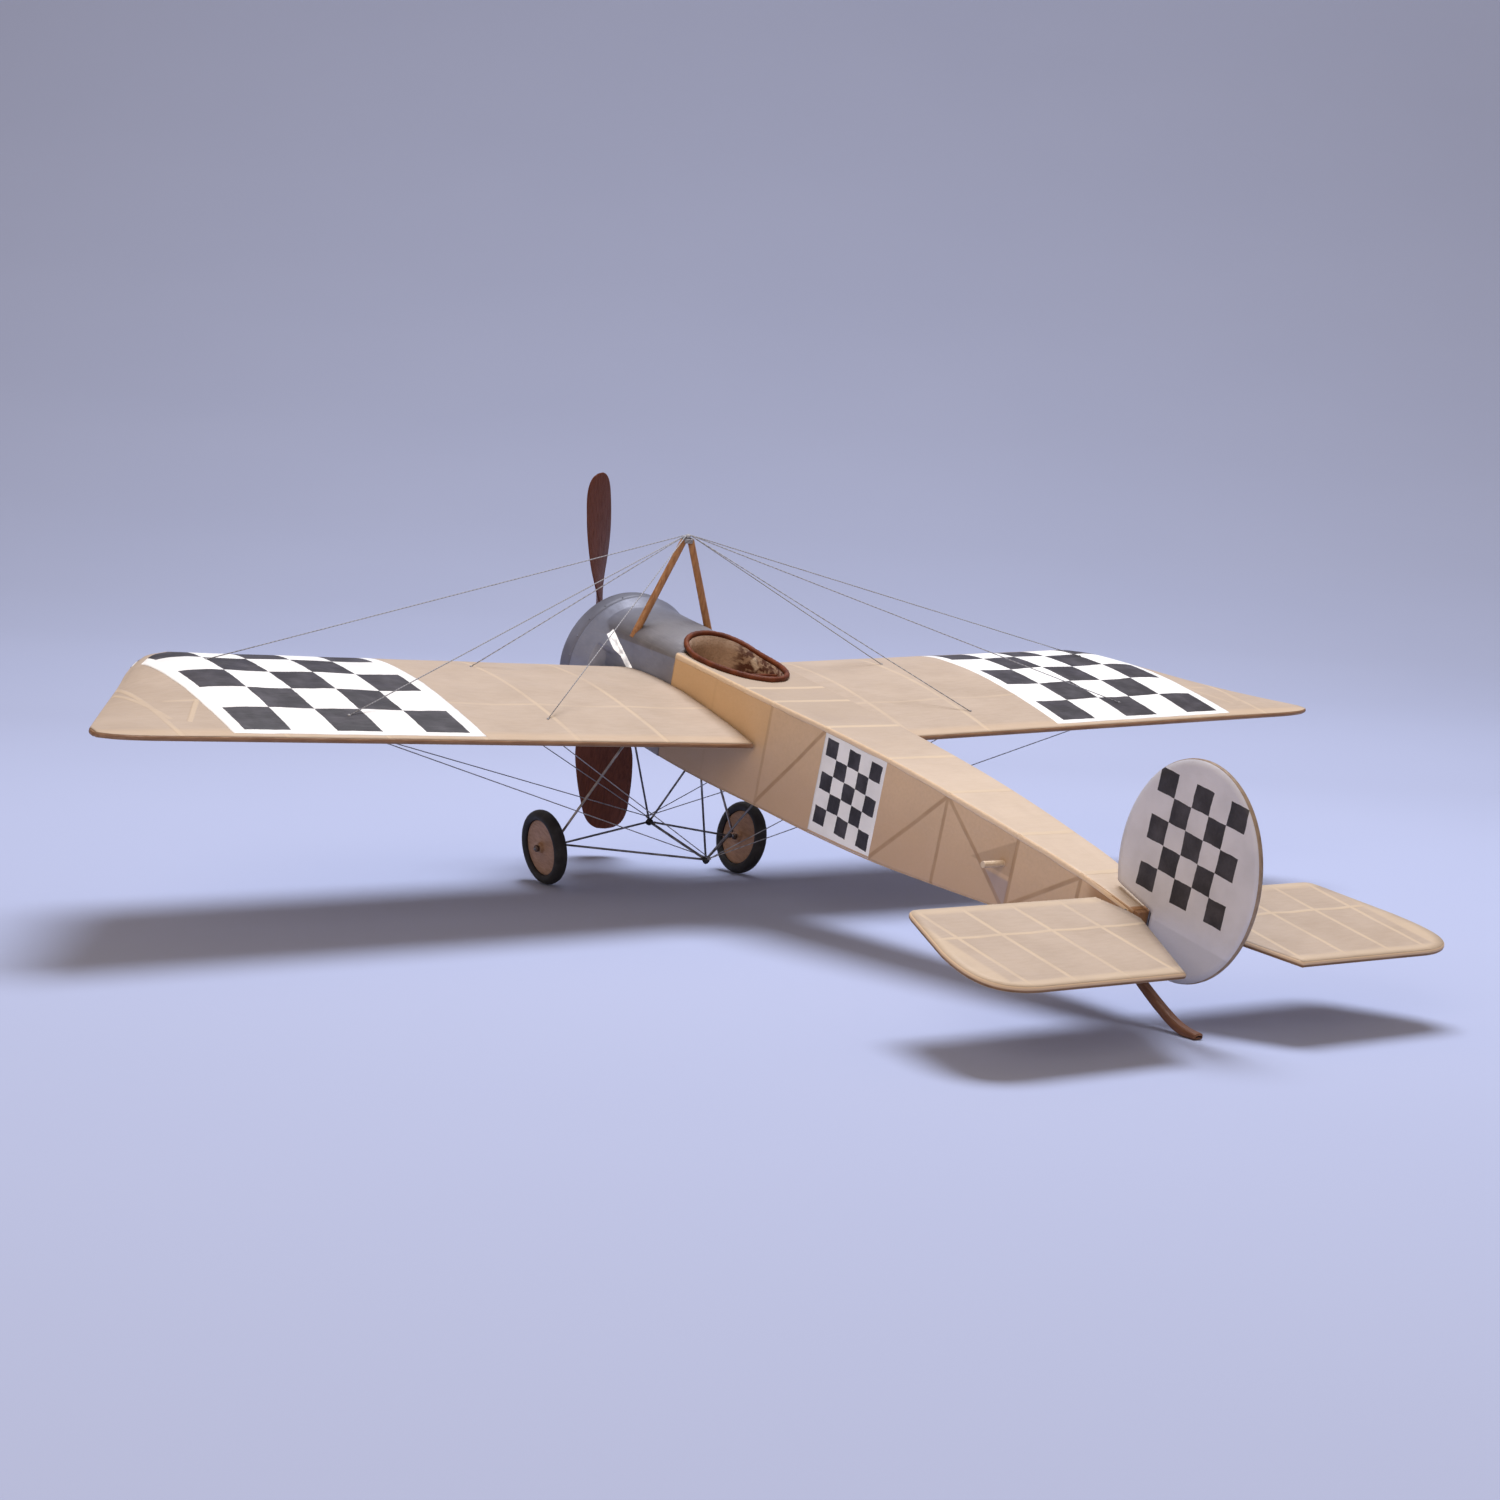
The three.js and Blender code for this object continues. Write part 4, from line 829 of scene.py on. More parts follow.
def wing_ring(x, lift=0.0, top_points=36, nose_points=7, under_points=20):
    """A ring round the wing at x, from the trailing edge round the nose and back under it."""
    le, te = chord_ends(x)
    end = min(0.7, (te - le) * 0.3)
    nose = min(3.0, (te - le) * 0.2)
    ring = []
    for t in between(0, 1, top_points):
        y = te - end - (te - end - le - nose * 0.55) * t ** 1.15
        ring.append((x, y, wing_top(x, y) - tissue_sag(x, y) + lift))
    high, low = wing_top(x, le + nose * 0.55), wing_under(x, le + nose)
    middle, reach = (high + low) / 2, (high - low) / 2
    for a in between(0.18, math.pi - 0.18, nose_points):
        ring.append((x, le + nose * 0.5 - (nose * 0.5 + lift) * math.sin(a),
                     middle + (reach + lift) * math.cos(a)))
    for t in between(0, 1, under_points):
        y = le + nose + (te - end - le - nose) * t
        ring.append((x, y, wing_under(x, y) + tissue_sag(x, y) * 0.7 - lift))
    return ring


def wing_stations():
    return between(WING["root"] + 0.1, TIP_START, 150) + between(293.5, 379.2, 54)


def build_wings():
    rings = [wing_ring(x) for x in wing_stations()]
    columns = len(rings[0])
    points = [p for ring in rings for p in ring]
    faces = grid_faces(len(rings), columns)
    add_pair("wing_tissue", points, flipped(faces), "wing", "wing_cover", thickness=0.12)
    add_pair("wing_edge", *wing_edge(), "edge_wood", "wing_trailing_edge")
    build_wing_panels()


# Across the wooden edge: inset, share of the half thickness, lift.
EDGE_SECTION = [(2.4, 0.80, -0.1), (1.3, 0.90, -0.05), (0.65, 0.94, 0), (0.2, 0.72, 0), (0.0, 0.0, 0),
                (0.2, -0.75, 0), (0.65, -1, -0.02), (1.3, -1, 0), (2.4, -0.85, 0.1)]


def edge_route():
    """The wooden edge's outer line: along the trailing edge, round the corner and up the raked tip."""
    route = [(x, 145) for x in between(WING["root"] + 0.2, 354, 60)]
    route += [(x, smooth_tip(TIP_TE, x)) for x in between(357, 379, 12)]
    route += [(380.6, 137.4), (380.6, 135.2)]
    route += [(x, smooth_tip(TIP_LE, x)) for x in reversed(between(296, 380, 50))]
    return route


def wing_edge():
    """Rounded wooden rim that shows as a thin line round the trailing edge and the tip."""
    route = edge_route()
    count, points = len(route), []
    for i, (x, y) in enumerate(route):
        ax, ay = route[max(i - 1, 0)]
        bx, by = route[min(i + 1, count - 1)]
        way = Vector((bx - ax, by - ay)).normalized()
        inward = Vector((-way.y, way.x))
        if inward.dot(Vector((200 - x, 70 - y))) < 0:
            inward = -inward
        for inset, face, lift in EDGE_SECTION:
            px, py = x + inward.x * inset, y + inward.y * inset
            top, under = wing_top(min(px, 380.9), py), wing_under(min(px, 380.9), py)
            middle, half = (top + under) / 2, max((top - under) / 2, 1.0)
            points.append((px, py, middle + half * face + lift))
    columns = len(EDGE_SECTION)
    faces = grid_faces(count, columns, wrap_columns=True) + end_faces(count, columns)
    return facing_out((points, faces))


def build_wing_panels():
    """White tissue over the cambered top, wrapped over the leading edge with a ragged end."""
    stations = between(*PANEL, 90)
    rows = []
    for x in stations:
        overhang = 5.5 + 1.6 * rough((x, 0, 0), 7, 5) + 0.8 * rough((x, 4, 0), 2.5, 6)
        rear = 141.0 + 0.5 * rough((x, 9, 0), 12, 7)
        ring = wing_ring(x, 0.14, top_points=40, nose_points=7, under_points=20)
        upper = [p for p in ring[:40] if p[1] < rear]
        upper.insert(0, (x, rear, wing_top(x, rear) + 0.1))
        upper = upper[:36] if len(upper) > 36 else upper + [upper[-1]] * (36 - len(upper))
        le, _ = chord_ends(x)
        under = [(x, le + t * overhang, wing_under(x, le + 3 + t * overhang) - 0.2) for t in (0.6, 1.0)]
        rows.append(upper + [ring[36], *ring[40:47], *under])
    jitter = [0.35 * rough((0, i * 4.1, 2), 3, 8) for i in range(len(rows[0]))]
    points = []
    for k, row in enumerate(rows):
        for i, (x, y, z) in enumerate(row):
            shift = jitter[i] if k in (0, len(rows) - 1) else 0
            points.append((x + shift, y, z))
    faces = flipped(grid_faces(len(rows), len(rows[0])))
    add_pair("wing_panel", points, faces, "wing_panel", thickness=0.08)


# ---- fuselage ----
def cockpit_outline(grow=0.0, count=96):
    """Egg-shaped opening as (x, y) points, from the widest place on the left round the tail and the
    front."""
    half, wide, front, tip = 21.4 + grow, 78, 50 - grow, 117 + grow
    curves = [[(half, wide), (half, wide + 24), (11 + grow, tip), (0, tip)],
              [(0, tip), (-11 - grow, tip), (-half, wide + 24), (-half, wide)],
              [(-half, wide), (-half, wide - 16), (-16 - grow, front), (0, front)],
              [(0, front), (16 + grow, front), (half, wide - 16), (half, wide)]]
    fine = []
    for curve in curves:
        fine += bezier(curve, between(0, 0.98, 50))
    steps = [math.dist(p, q) for p, q in zip(fine, fine[1:] + fine[:1])]
    goal, gone, points = sum(steps) / count, 0.0, []
    for point, step in zip(fine, steps):
        if gone <= 0:
            points.append(point)
            gone += goal
        gone -= step
    return points


def inside_outline(x, y, outline):
    inside = False
    for (x0, y0), (x1, y1) in zip(outline, outline[1:] + outline[:1]):
        if (y0 > y) != (y1 > y) and x < (x1 - x0) * (y - y0) / (y1 - y0) + x0:
            inside = not inside
    return inside


def without_hole(points, faces, outline):
    """Leaves out the faces whose middle lies inside an outline seen from above."""
    kept = []
    for face in faces:
        middle = sum((Vector(points[i]) for i in face), Vector()) / len(face)
        if middle.z < 10 or not inside_outline(middle.x, middle.y, outline):
            kept.append(face)
    return kept


def bay_sag(at, stations, depth):
    """Hollow between the two neighbouring sticks."""
    marks = [SKIN_FRONT, *stations, SKIN_REAR]
    for low, high in zip(marks, marks[1:]):
        if low <= at <= high:
            return depth * math.sin(math.pi * (at - low) / (high - low)) ** 2
    return 0.0


def top_section(y):
    """Across the top at y: up from the left side's wrapped edge, over the corner, and down the right."""
    half, top, corner = half_at(y), top_at(y), 1.5
    wrap = 2.7 + 0.5 * (1 - ease(y, 64, 92)) + 0.45 * rough((y, 0, 0), 13, 5)
    left = [(half + 0.22, top - wrap), (half + 0.30, top - wrap + 0.5), (half + 0.26, top - corner - 0.4)]
    for a in between(0, math.pi / 2, 6):
        left.append((half + 0.2 - corner + corner * math.cos(a), top - corner + corner * math.sin(a)))
    flat = []
    inner = half + 0.2 - corner
    for v in between(0.955, -0.955, 41):
        edge = 1 - abs(v)
        sag = bay_sag(y, UPRIGHTS, 0.55) * ease(edge, 0.045, 0.5) * ease(y, 118, 140)
        crease = 0.10 * rough((v * half, y * 0.5, 0), 7, 3) * ease(edge, 0.045, 0.3)
        flat.append((v * inner, top - sag + crease))
    return left + flat + [(-x, z) for x, z in reversed(left)]


def build_top_skin():
    ys = between(SKIN_FRONT, SKIN_REAR, 300)
    rows = [[(x, y, z) for x, z in top_section(y)] for y in ys]
    points = [p for row in rows for p in row]
    faces = without_hole(points, grid_faces(len(ys), len(rows[0])), cockpit_outline(0.4))
    add("top_tissue", points, flipped(faces), "top", replaces=["fuselage_cover_top"], thickness=0.15)


def side_surface(y, v, lift=0.0):
    """A point on the left side skin; v runs from the bottom rail to the top rail."""
    low, high = bottom_at(y), top_at(y) - 0.3
    hollow = bay_sag(y, UPRIGHTS, 0.5) * math.sin(math.pi * clamp(v)) ** 0.8
    flat_share = ease(1 - abs(2 * v - 1), 0, 0.25)
    crease = 0.14 * rough((y * 0.6, (low + (high - low) * v) * 1.4, 0), 8, 4) * flat_share
    turn_in = 0.45 * (1 - ease(min(v, 1 - v), 0, 0.03))
    return (half_at(y) - hollow - turn_in + crease + lift, y, low + (high - low) * v)


def build_side_skins():
    ys, vs = between(SKIN_FRONT, SKIN_REAR, 264), between(0, 1, 34)
    panel_ys, panel_vs = between(*SIDE_PANEL, 50), between(0.012, 0.988, 34)
    points = [side_surface(y, v) for y in ys for v in vs]
    panel = [side_surface(y, v, 0.12) for y in panel_ys for v in panel_vs]
    add_pair("side_tissue", points, grid_faces(len(ys), len(vs)), "side", "fuselage_cover", thickness=0.15)
    add_pair("side_panel", panel, grid_faces(len(panel_ys), len(panel_vs)), "side_panel", thickness=0.08)


def build_bottom_skin():
    ys, vs = between(SKIN_FRONT, SKIN_REAR, 200), between(-1, 1, 25)
    points = []
    for y in ys:
        for v in vs:
            edge = 1 - abs(v)
            sag = bay_sag(y, UPRIGHTS, 0.5) * ease(edge, 0, 0.5)
            points.append((v * half_at(y), y, bottom_at(y) + sag + 0.4 * (1 - ease(edge, 0, 0.06))))
    add("bottom_tissue", points, grid_faces(len(ys), len(vs)), "top",
        replaces=["fuselage_cover_bottom"], thickness=0.15)


# ---- metal nose ----
def deck_height(x, y):
    shoulder, crown = table_at(DECK, y, 1), table_at(DECK, y, 2)
    return shoulder + (crown - shoulder) * math.sqrt(max(0, 1 - (x / NOSE_HALF) ** 2))


def box_reach(way_x, way_z, y):
    """Distance from the cowl's centre line to the flat sides, the bottom and the arched deck."""
    tucked = 0.5 * ease(y, 62.6, 63.0)
    half, low = NOSE_HALF - tucked, FUSELAGE[0][3] - COWL["z"] + tucked
    reach = 200.0
    if abs(way_x) > 1e-6:
        reach = min(reach, half / abs(way_x))
    if way_z < -1e-6:
        reach = min(reach, low / way_z)
    if way_z > 1e-6:
        low_end, high_end = 0.0, reach
        for _ in range(26):
            middle = (low_end + high_end) / 2
            x, z = middle * way_x, COWL["z"] + middle * way_z
            roof = deck_height(x, min(y, DECK_REAR))
            if y >= SKIN_FRONT:
                roof = min(roof, top_at(DECK_REAR) - tucked)
            low_end, high_end = (middle, high_end) if z < roof else (low_end, middle)
        reach = low_end
    return reach


def fairing_point(angle, y):
    way_x, way_z = math.sin(angle), math.cos(angle)
    slope = (CONE["rear_r"] - CONE["front_r"]) / (CONE["rear"] - CONE["front"])
    cone = CONE["front_r"] + slope * (y - CONE["front"]) if y < CONE["rear"] + 15 else 0
    body = box_reach(way_x, way_z, y) if y > -7 else 0
    soft = 0.5
    reach = max(cone, body) + soft * math.log1p(math.exp(-abs(cone - body) / soft)) * 0.6
    x, z = reach * way_x, COWL["z"] + reach * way_z
    flush = NOSE_HALF + 0.05
    if y > -2.2 and -18 < z < 8.8 and abs(x) > flush:
        reach *= flush / abs(x)
    dent = 0.12 * rough((way_x * 40, y, way_z * 40), 15, 6)
    return (reach + dent) * way_x, y, COWL["z"] + (reach + dent) * way_z


def build_fairing():
    ys = between(CONE["front"], 62.5, 110) + [62.8, 63.0, 64.5, 66.5]
    corner = math.atan2(NOSE_HALF, table_at(DECK, 30, 1) - COWL["z"])
    beside = [corner + 0.006, corner - 0.006, -corner + 0.006, -corner - 0.006]
    angles = sorted(turns(240) + beside, key=lambda a: a % (2 * math.pi))
    points = [fairing_point(a, y) for y in ys for a in angles]
    faces = grid_faces(len(ys), len(angles), wrap_columns=True)
    faces = without_hole(points, faces, cockpit_outline(0.4))
    add("nose_metal", points, flipped(faces), "tin", replaces=["nose_fairing"], thickness=0.5)
    seams = []
    for start, end in ((17.5, 25.5), (61.0, 61.0)):
        path = []
        for a in between(-corner * 0.985, corner * 0.985, 60):
            share = (a / corner + 1) / 2
            y = start + (end - start) * share
            x, _, z = fairing_point(a, y)
            if not inside_outline(x, y, cockpit_outline(1.5)):
                path.append((x, y, z - 0.12))
            elif path:
                break
        seams.append(facing_out(tube(path, 0.42, 8, squash=0.7)))
    add("nose_seams", *merged(*seams), "dark_tin")


def build_cowl():
    r, f, w, z = COWL["r"], COWL["front"], 0.7, COWL["z"]
    outer = [(33, f - 3.1), (34.5, f - 3.4), (r - 4, f - 2.9), (r - 2, f - 1.5), (r - 0.7, f + 0.3),
             (r - 0.12, f + 2.2), (r, f + 4), (r, f + 7), (r, COWL["rear"])]
    inner = [(radius - w, y + (0.6 if y < f + 2 else 0)) for radius, y in reversed(outer)]
    wobble = lambda a, along: 0.002 * rough((math.cos(a) * 46, along, math.sin(a) * 46), 17, 9)
    shape = facing_out(turned_shape([*outer, *inner], (0, 0, z), sides=120, wobble=wobble))
    add("cowl_metal", *shape, "cowl_tin", replaces=["cowl"])
    rivets, count, on_skin = [], 22, r + 0.1
    for k in range(count):
        angle = 2 * math.pi * (k + 0.5) / count
        rivets.append(blob((on_skin * math.cos(angle), -17.2, z + on_skin * math.sin(angle)), 0.5, k))
    add("cowl_rivets", *merged(*rivets), "cowl_tin")


def build_engine():
    """Nine finned cylinders round a crankcase, each with its push rod."""
    crankcase = [(10.8, -30), (13.6, -30.2), (15, -29), (15, -18), (10.8, -17.4)]
    shapes = [facing_out(turned_shape(crankcase, (0, 0, THRUST.z), sides=48))]
    middle, fin_pitch = Vector((0, -24, THRUST.z)), 2.05
    profile = [(0.01, 13)]
    for i in range(7):
        r = 15.2 + i * fin_pitch
        profile += [(3.2, r), (4.3, r + 0.25), (4.3, r + 0.95), (3.2, r + 1.2)]
    profile += [(3.1, 29.8), (2.4, 30.8), (0.01, 30.9)]
    points, faces = turned_shape(profile, (0, 0, 0), sides=18)
    for angle in turns(9):
        turn = Matrix.Rotation(angle, 3, "Y")
        spoke = [turn @ Vector((p[0], p[2], p[1])) + middle for p in points]
        shapes.append(facing_out((spoke, faces)))
        rod = [turn @ Vector((1.6, -3.6, r)) + middle for r in (14, 22, 30)]
        shapes.append(facing_out(tube(rod, 0.5, 8)))
    add("engine_cylinders", *merged(*shapes), "engine", replaces=["dummy_engine"])


# ---- cockpit ----
def rim_rest(x, y):
    """Height of the deck or the top tissue under the padded rim."""
    share = 1 - ease(y, 57, 84)
    widest = NOSE_HALF - 0.1
    flat, arch = top_at(y), deck_height(clamp(x, -widest, widest), min(y, DECK_REAR))
    return flat + (max(arch, flat) - flat) * share


def build_cockpit():
    centres = [(x, y, rim_rest(x, y) + 1.2) for x, y in cockpit_outline(0.5, 130)]
    thick = lambda t: 1.5 + 0.12 * rough((t * 220, 0, 0), 4, 3) + 0.08 * math.sin(t * 2 * math.pi * 46)
    shape = facing_out(tube(centres, thick, 18, closed=True))
    add("padded_rim", *shape, "leather", replaces=["cockpit_rim"])
    rings = []
    inner = cockpit_outline(-0.7, 96)
    steps_down = ((0.0, 0.0), (0.25, 0.01), (0.6, 0.02), (0.93, 0.04), (0.985, 0.07), (1.0, 0.14), (1.0, 1.0))
    for depth, shrink in steps_down:
        for x, y in inner:
            top = rim_rest(x, y) + 0.2
            rings.append((x * (1 - shrink), 84 + (y - 84) * (1 - shrink), top + (2.2 - top) * depth))
    faces = grid_faces(len(steps_down), len(inner), wrap_columns=True)
    add("cockpit_lining", rings, faces, "cockpit", replaces=["cockpit_tub"], thickness=-0.5)
    back_points = []
    seat_half = 13
    for z in between(3.5, 24.0, 12):
        for x in between(-seat_half, seat_half, 15):
            leaned = 103.5 + (z - 3) * 0.16 - 0.016 * x * x
            back_points.append((x, leaned, z + 0.8 * math.cos(x / seat_half * 1.4)))
    add("seat_back", back_points, grid_faces(12, 15), "leather", thickness=1.2)
    cushion = tube([(-10.5, 93, 5.0), (0, 93.5, 5.4), (10.5, 93, 5.0)],
                   lambda t: 4.6 - 2.4 * abs(2 * t - 1) ** 3, 16, squash=0.6)
    hoop = tube([(-13.6, 99.5, 17), (-13.2, 100.6, 24.4), (0, 104.6, 26.2), (13.2, 100.6, 24.4),
                 (13.6, 99.5, 17)], 0.9, 12)
    add("pilot_seat", *merged(facing_out(cushion), facing_out(hoop)), "leather")
    plate_points = [(x, 112.6 - 0.03 * x * x, z)
                    for z in between(20.5, 25.5, 5) for x in between(-6.5, 2.5, 9)]
    add("headrest_pad", plate_points, grid_faces(5, 9), "balsa_pale", thickness=1.0)


# ---- propeller ----
BLADE_WIDTH = [(0, 0.30), (0.12, 0.34), (0.25, 0.50), (0.35, 0.68), (0.45, 0.90), (0.55, 1.0), (0.65, 0.98),
               (0.75, 0.92), (0.83, 0.84), (0.90, 0.76), (0.95, 0.63), (0.98, 0.46), (1.0, 0.22)]


def blade(half_turn):
    """One blade, curved on its front and nearly flat behind, twisted to an even pitch."""
    section, sides = [], 20
    for angle in turns(sides):
        c, t = math.cos(angle), math.sin(angle)
        section.append((0.5 * c, 0.6 * t * (1 - 0.25 * c) if t > 0 else 0.24 * t))
    stations = between(0.03, 0.9, 34) + [0.92, 0.94, 0.955, 0.97, 0.98, 0.988, 0.994, 0.998, 1.0]
    turn = Matrix.Rotation(PROP_TURN + half_turn, 3, "Y")
    points = []
    for u in stations:
        r = u * PROP_R
        share = smooth_at(BLADE_WIDTH, u) if u < 0.995 else (0.14 if u < 1 else 0.03)
        width = share * PROP_CHORD
        thick = 6.2 - 4.7 * min(1, u * 1.3)
        thick *= min(1, width / 8)
        angle = math.atan(PROP_PITCH / (2 * math.pi * max(r, 22)))
        for c, t in section:
            across, back = c * width, -t * thick
            x = across * math.cos(angle) - back * math.sin(angle)
            y = across * math.sin(angle) + back * math.cos(angle)
            points.append(turn @ Vector((x, y, r)) + THRUST)
    faces = grid_faces(len(stations), sides, wrap_columns=True) + end_faces(len(stations), sides)
    return facing_out((points, faces))


def build_propeller():
    y0, y1 = THRUST.y - 4, THRUST.y + 4
    hub = turned_shape([(0.9, y0), (4.2, y0), (5.4, y0 + 0.7), (6, y0 + 2.2), (6, y1 - 0.6), (5.4, y1),
                        (0.9, y1)], (0, 0, THRUST.z), sides=40)
    add("propeller_wood", *merged(blade(0), blade(math.pi), facing_out(hub)), "prop_wood",
        body="propeller", replaces=["propeller"])


# ---- bracing ----
def build_kingpost():
    """Two rounded wooden legs, bound at the top with thread."""
    for side, sign in SIDES:
        foot, top = (Vector((sign * end.x, end.y, end.z)) for end in (POST_FOOT, POST_TOP))
        path = [foot.lerp(top, t) for t in between(0, 1, 14)]
        shape = facing_out(tube(path, lambda t: 2.2 - 0.25 * t, 14, tilt=(0, 1, 0), squash=0.85))
        add(f"kingpost_leg_{side}", *shape, "post_wood", replaces=[f"kingpost_{side}"])
    wraps = [tube([(3.3 * math.cos(a), POST_TOP.y + 2.2 * math.sin(a), 73.6 + 0.6 * k)
                   for a in between(0, 5.9, 20)], 0.36, 8) for k in range(4)]
    cap = blob((0, POST_TOP.y, 76.6), 1.5, 4)
    add("kingpost_binding", *merged(*[facing_out(w) for w in wraps], cap), "thread")


def thread_line(start, end, radius=0.27):
    start, end = Vector(start), Vector(end)
    return facing_out(tube([start.lerp(end, t) for t in between(0, 1, 5)], radius, 8))


FRONT_ANCHORS, REAR_ANCHORS = [(135, 38), (284, 40)], [(136, 119.5), (246, 119.5)]


def build_rigging():
    for side, sign in SIDES:
        knot = (sign * 1.1, POST_TOP.y, 77.6)
        lines = []
        for i, (x, y) in enumerate([*FRONT_ANCHORS, *REAR_ANCHORS]):
            end = (sign * x, y, wing_top(x, y) + 0.1)
            lines += [thread_line(knot, end), blob(end, 0.75, i)]
        add(f"upper_threads_{side}", *merged(*lines), "thread", replaces=[f"rigging_upper_{side}"])
    for name, apex, anchors, way in (("front", APEX_A, FRONT_ANCHORS, -1), ("rear", APEX_B, REAR_ANCHORS, 1)):
        knot = apex + Vector((0, 3.2 * way, 2))
        lines = [blob(knot, 0.9, 3), thread_line(apex, knot, 0.4)]
        for sign in (1, -1):
            for i, (x, y) in enumerate(anchors):
                end = (sign * x, y, wing_under(x, y) - 0.1)
                lines += [thread_line(knot, end), blob(end, 0.75, i)]
        add(f"lower_threads_{name}", *merged(*lines), "thread", replaces=[f"rigging_lower_{name}"])


# ---- undercarriage ----
def wire(points, radius=0.72):
    """A wire bent at its inner points, with a small bend radius."""
    points = [Vector(p) for p in points]
    path = [points[0]]
    for before, here, after in zip(points, points[1:], points[2:]):
        start, end = here.lerp(before, 0.06), here.lerp(after, 0.06)
        path += [start.lerp(here, t).lerp(here.lerp(end, t), t) for t in between(0, 1, 6)]
    path.append(points[-1])
    fine = [path[0]]
    for a, b in zip(path, path[1:]):
        steps = max(2, int((b - a).length / 12) + 1)
        fine += [a.lerp(b, t) for t in between(0, 1, steps)[1:]]
    return facing_out(tube(fine, radius, 10))


def on_wheel(sign, point):
    """A point given from the left or right wheel's centre, with x along its own leaning axle."""
    lean = Matrix.Rotation(sign * WHEEL["camber"], 3, "Y")
    return lean @ Vector(point) + Vector((sign * WHEEL["x"], WHEEL["y"], WHEEL["z"]))


def leaning(profile, sides, sign):
    """A lathe shape about a wheel's own axle."""
    points, faces = turned_shape(profile, (0, 0, 0), axis="x", sides=sides)
    return facing_out(([on_wheel(sign, p) for p in points], faces))


def on_axis(sign, out, up=0.0):
    """A point outwards along a wheel's own axle."""
    return on_wheel(sign, (sign * out, 0, up))


def build_gear():
    keel = wire([APEX_B, APEX_A], 0.75)
    vees = (("front", (24.4, 36, -33.4), APEX_A, []), ("rear", (24.4, 103, -31.9), APEX_B, [keel]))
    for name, foot, apex, extra in vees:
        vee = wire([foot, apex, *mirrored([foot])], VEE_WIRE)
        add(f"{name}_vee_wire", *merged(vee, *extra), "steel", replaces=[f"gear_vee_{name}"])
    for side, sign in SIDES:
        bend = on_axis(sign, -9)
        arms = [wire([bend, apex], VEE_WIRE) for apex in (APEX_A, APEX_B)]
        stub = wire([bend, on_axis(sign, -4), on_axis(sign, 6.4)], 0.66)
        collars = []
        for at, r in ((-5.0, 1.8), (4.9, 1.9)):
            ring = [(0.6, at - 0.75), (r - 0.2, at - 0.75), (r, at - 0.35), (r, at + 0.35),
                    (r - 0.2, at + 0.75), (0.6, at + 0.75)]
            ring = [(radius, along * sign) for radius, along in ring]
            collars.append(leaning(ring, 24, sign))
        add(f"axle_wire_{side}", *merged(*arms, stub), "steel", replaces=[f"axle_{side}"])
        add(f"axle_collars_{side}", *merged(*collars), "collar")
        foot = Vector((sign * 25.6, 32.6, -33.4))
        strut = wire([on_axis(sign, -7.4, 2.6), foot], 0.70)
        add(f"strut_wire_{side}", *strut, "strut", replaces=[f"gear_strut_{side}"])
        build_wheel(side, sign)
    joints_at = [(APEX_A, 2.1), (APEX_B, 2.1), (on_axis(1, -8.6, 0.4), 1.5), (on_axis(-1, -8.6, 0.4), 1.5)]
    lumps = [blob(at, size, i) for i, (at, size) in enumerate(joints_at)]
    add("solder_joints", *merged(*lumps), "solder")


def build_wheel(side, sign):
    r, t = WHEEL["radius"], WHEEL["tyre"]
    rim = r - 2 * t + 0.7
    wide = 3.8
    ring = [(r - t + t * math.cos(a), wide * math.sin(a)) for a in between(-2.5, 2.5, 26)]
    groove = [(rim + 0.05, wide * 0.5), (rim + 0.05, -wide * 0.5)]
    tyre = leaning([*ring, *groove], 96, sign)
    add(f"tyre_ring_{side}", *tyre, "tyre", body=f"wheel_{side}", replaces=[f"tyre_{side}"])
    half = [(0.95, 3.7), (2.2, 3.7), (2.7, 3.3), (2.8, 2.2), (3.4, 1.9), (8, 1.75), (rim - 2.2, 1.5),
            (rim - 0.6, 1.9), (rim, 1.5)]
    profile = half + [(radius, -x) for radius, x in reversed(half)]
    disc = leaning(profile, 72, sign)
    add(f"wheel_face_{side}", *disc, "disc_wood", body=f"wheel_{side}", replaces=[f"wheel_disc_{side}"])


def build_skid():
    """A bent stick, flat where it meets the ground."""
    table = [(399, 0.4), (408, -6), (418, -11.6), (427, -15.4), (437, -19), (445, -21.2), (452, -21.9),
             (460, -21.4)]
    lowest = lambda y: (y * math.sin(SIT) - ORIGIN.z / MM) / math.cos(SIT)
    points, sides = [], 16
    section = [tuple(math.copysign(abs(v) ** 0.6, v) for v in (math.cos(angle), math.sin(angle)))
               for angle in turns(sides)]
    body_rows = 46
    ys = between(399, 459.3, body_rows) + [459.7, 459.9]
    for i, y in enumerate(ys):
        slope = (smooth_at(table, y + 0.5) - smooth_at(table, y - 0.5))
        rounding = max(0, i - body_rows + 1)
        thick = (1.7 + 0.5 * ease(y, 400, 450)) * (1, 0.9, 0.6)[rounding]
        for across, up in section:
            wide = 2.6 * across * (1 - 0.03 * rough((across, y, up), 5, 3)) * (1, 0.95, 0.75)[rounding]
            at = smooth_at(table, y) + thick * up / math.cos(math.atan(slope))
            points.append((wide, y, max(at, lowest(y))))
    faces = grid_faces(len(ys), sides, wrap_columns=True) + end_faces(len(ys), sides)
    add("skid_wood", *facing_out((points, faces)), "skid_wood", replaces=["tail_skid"])


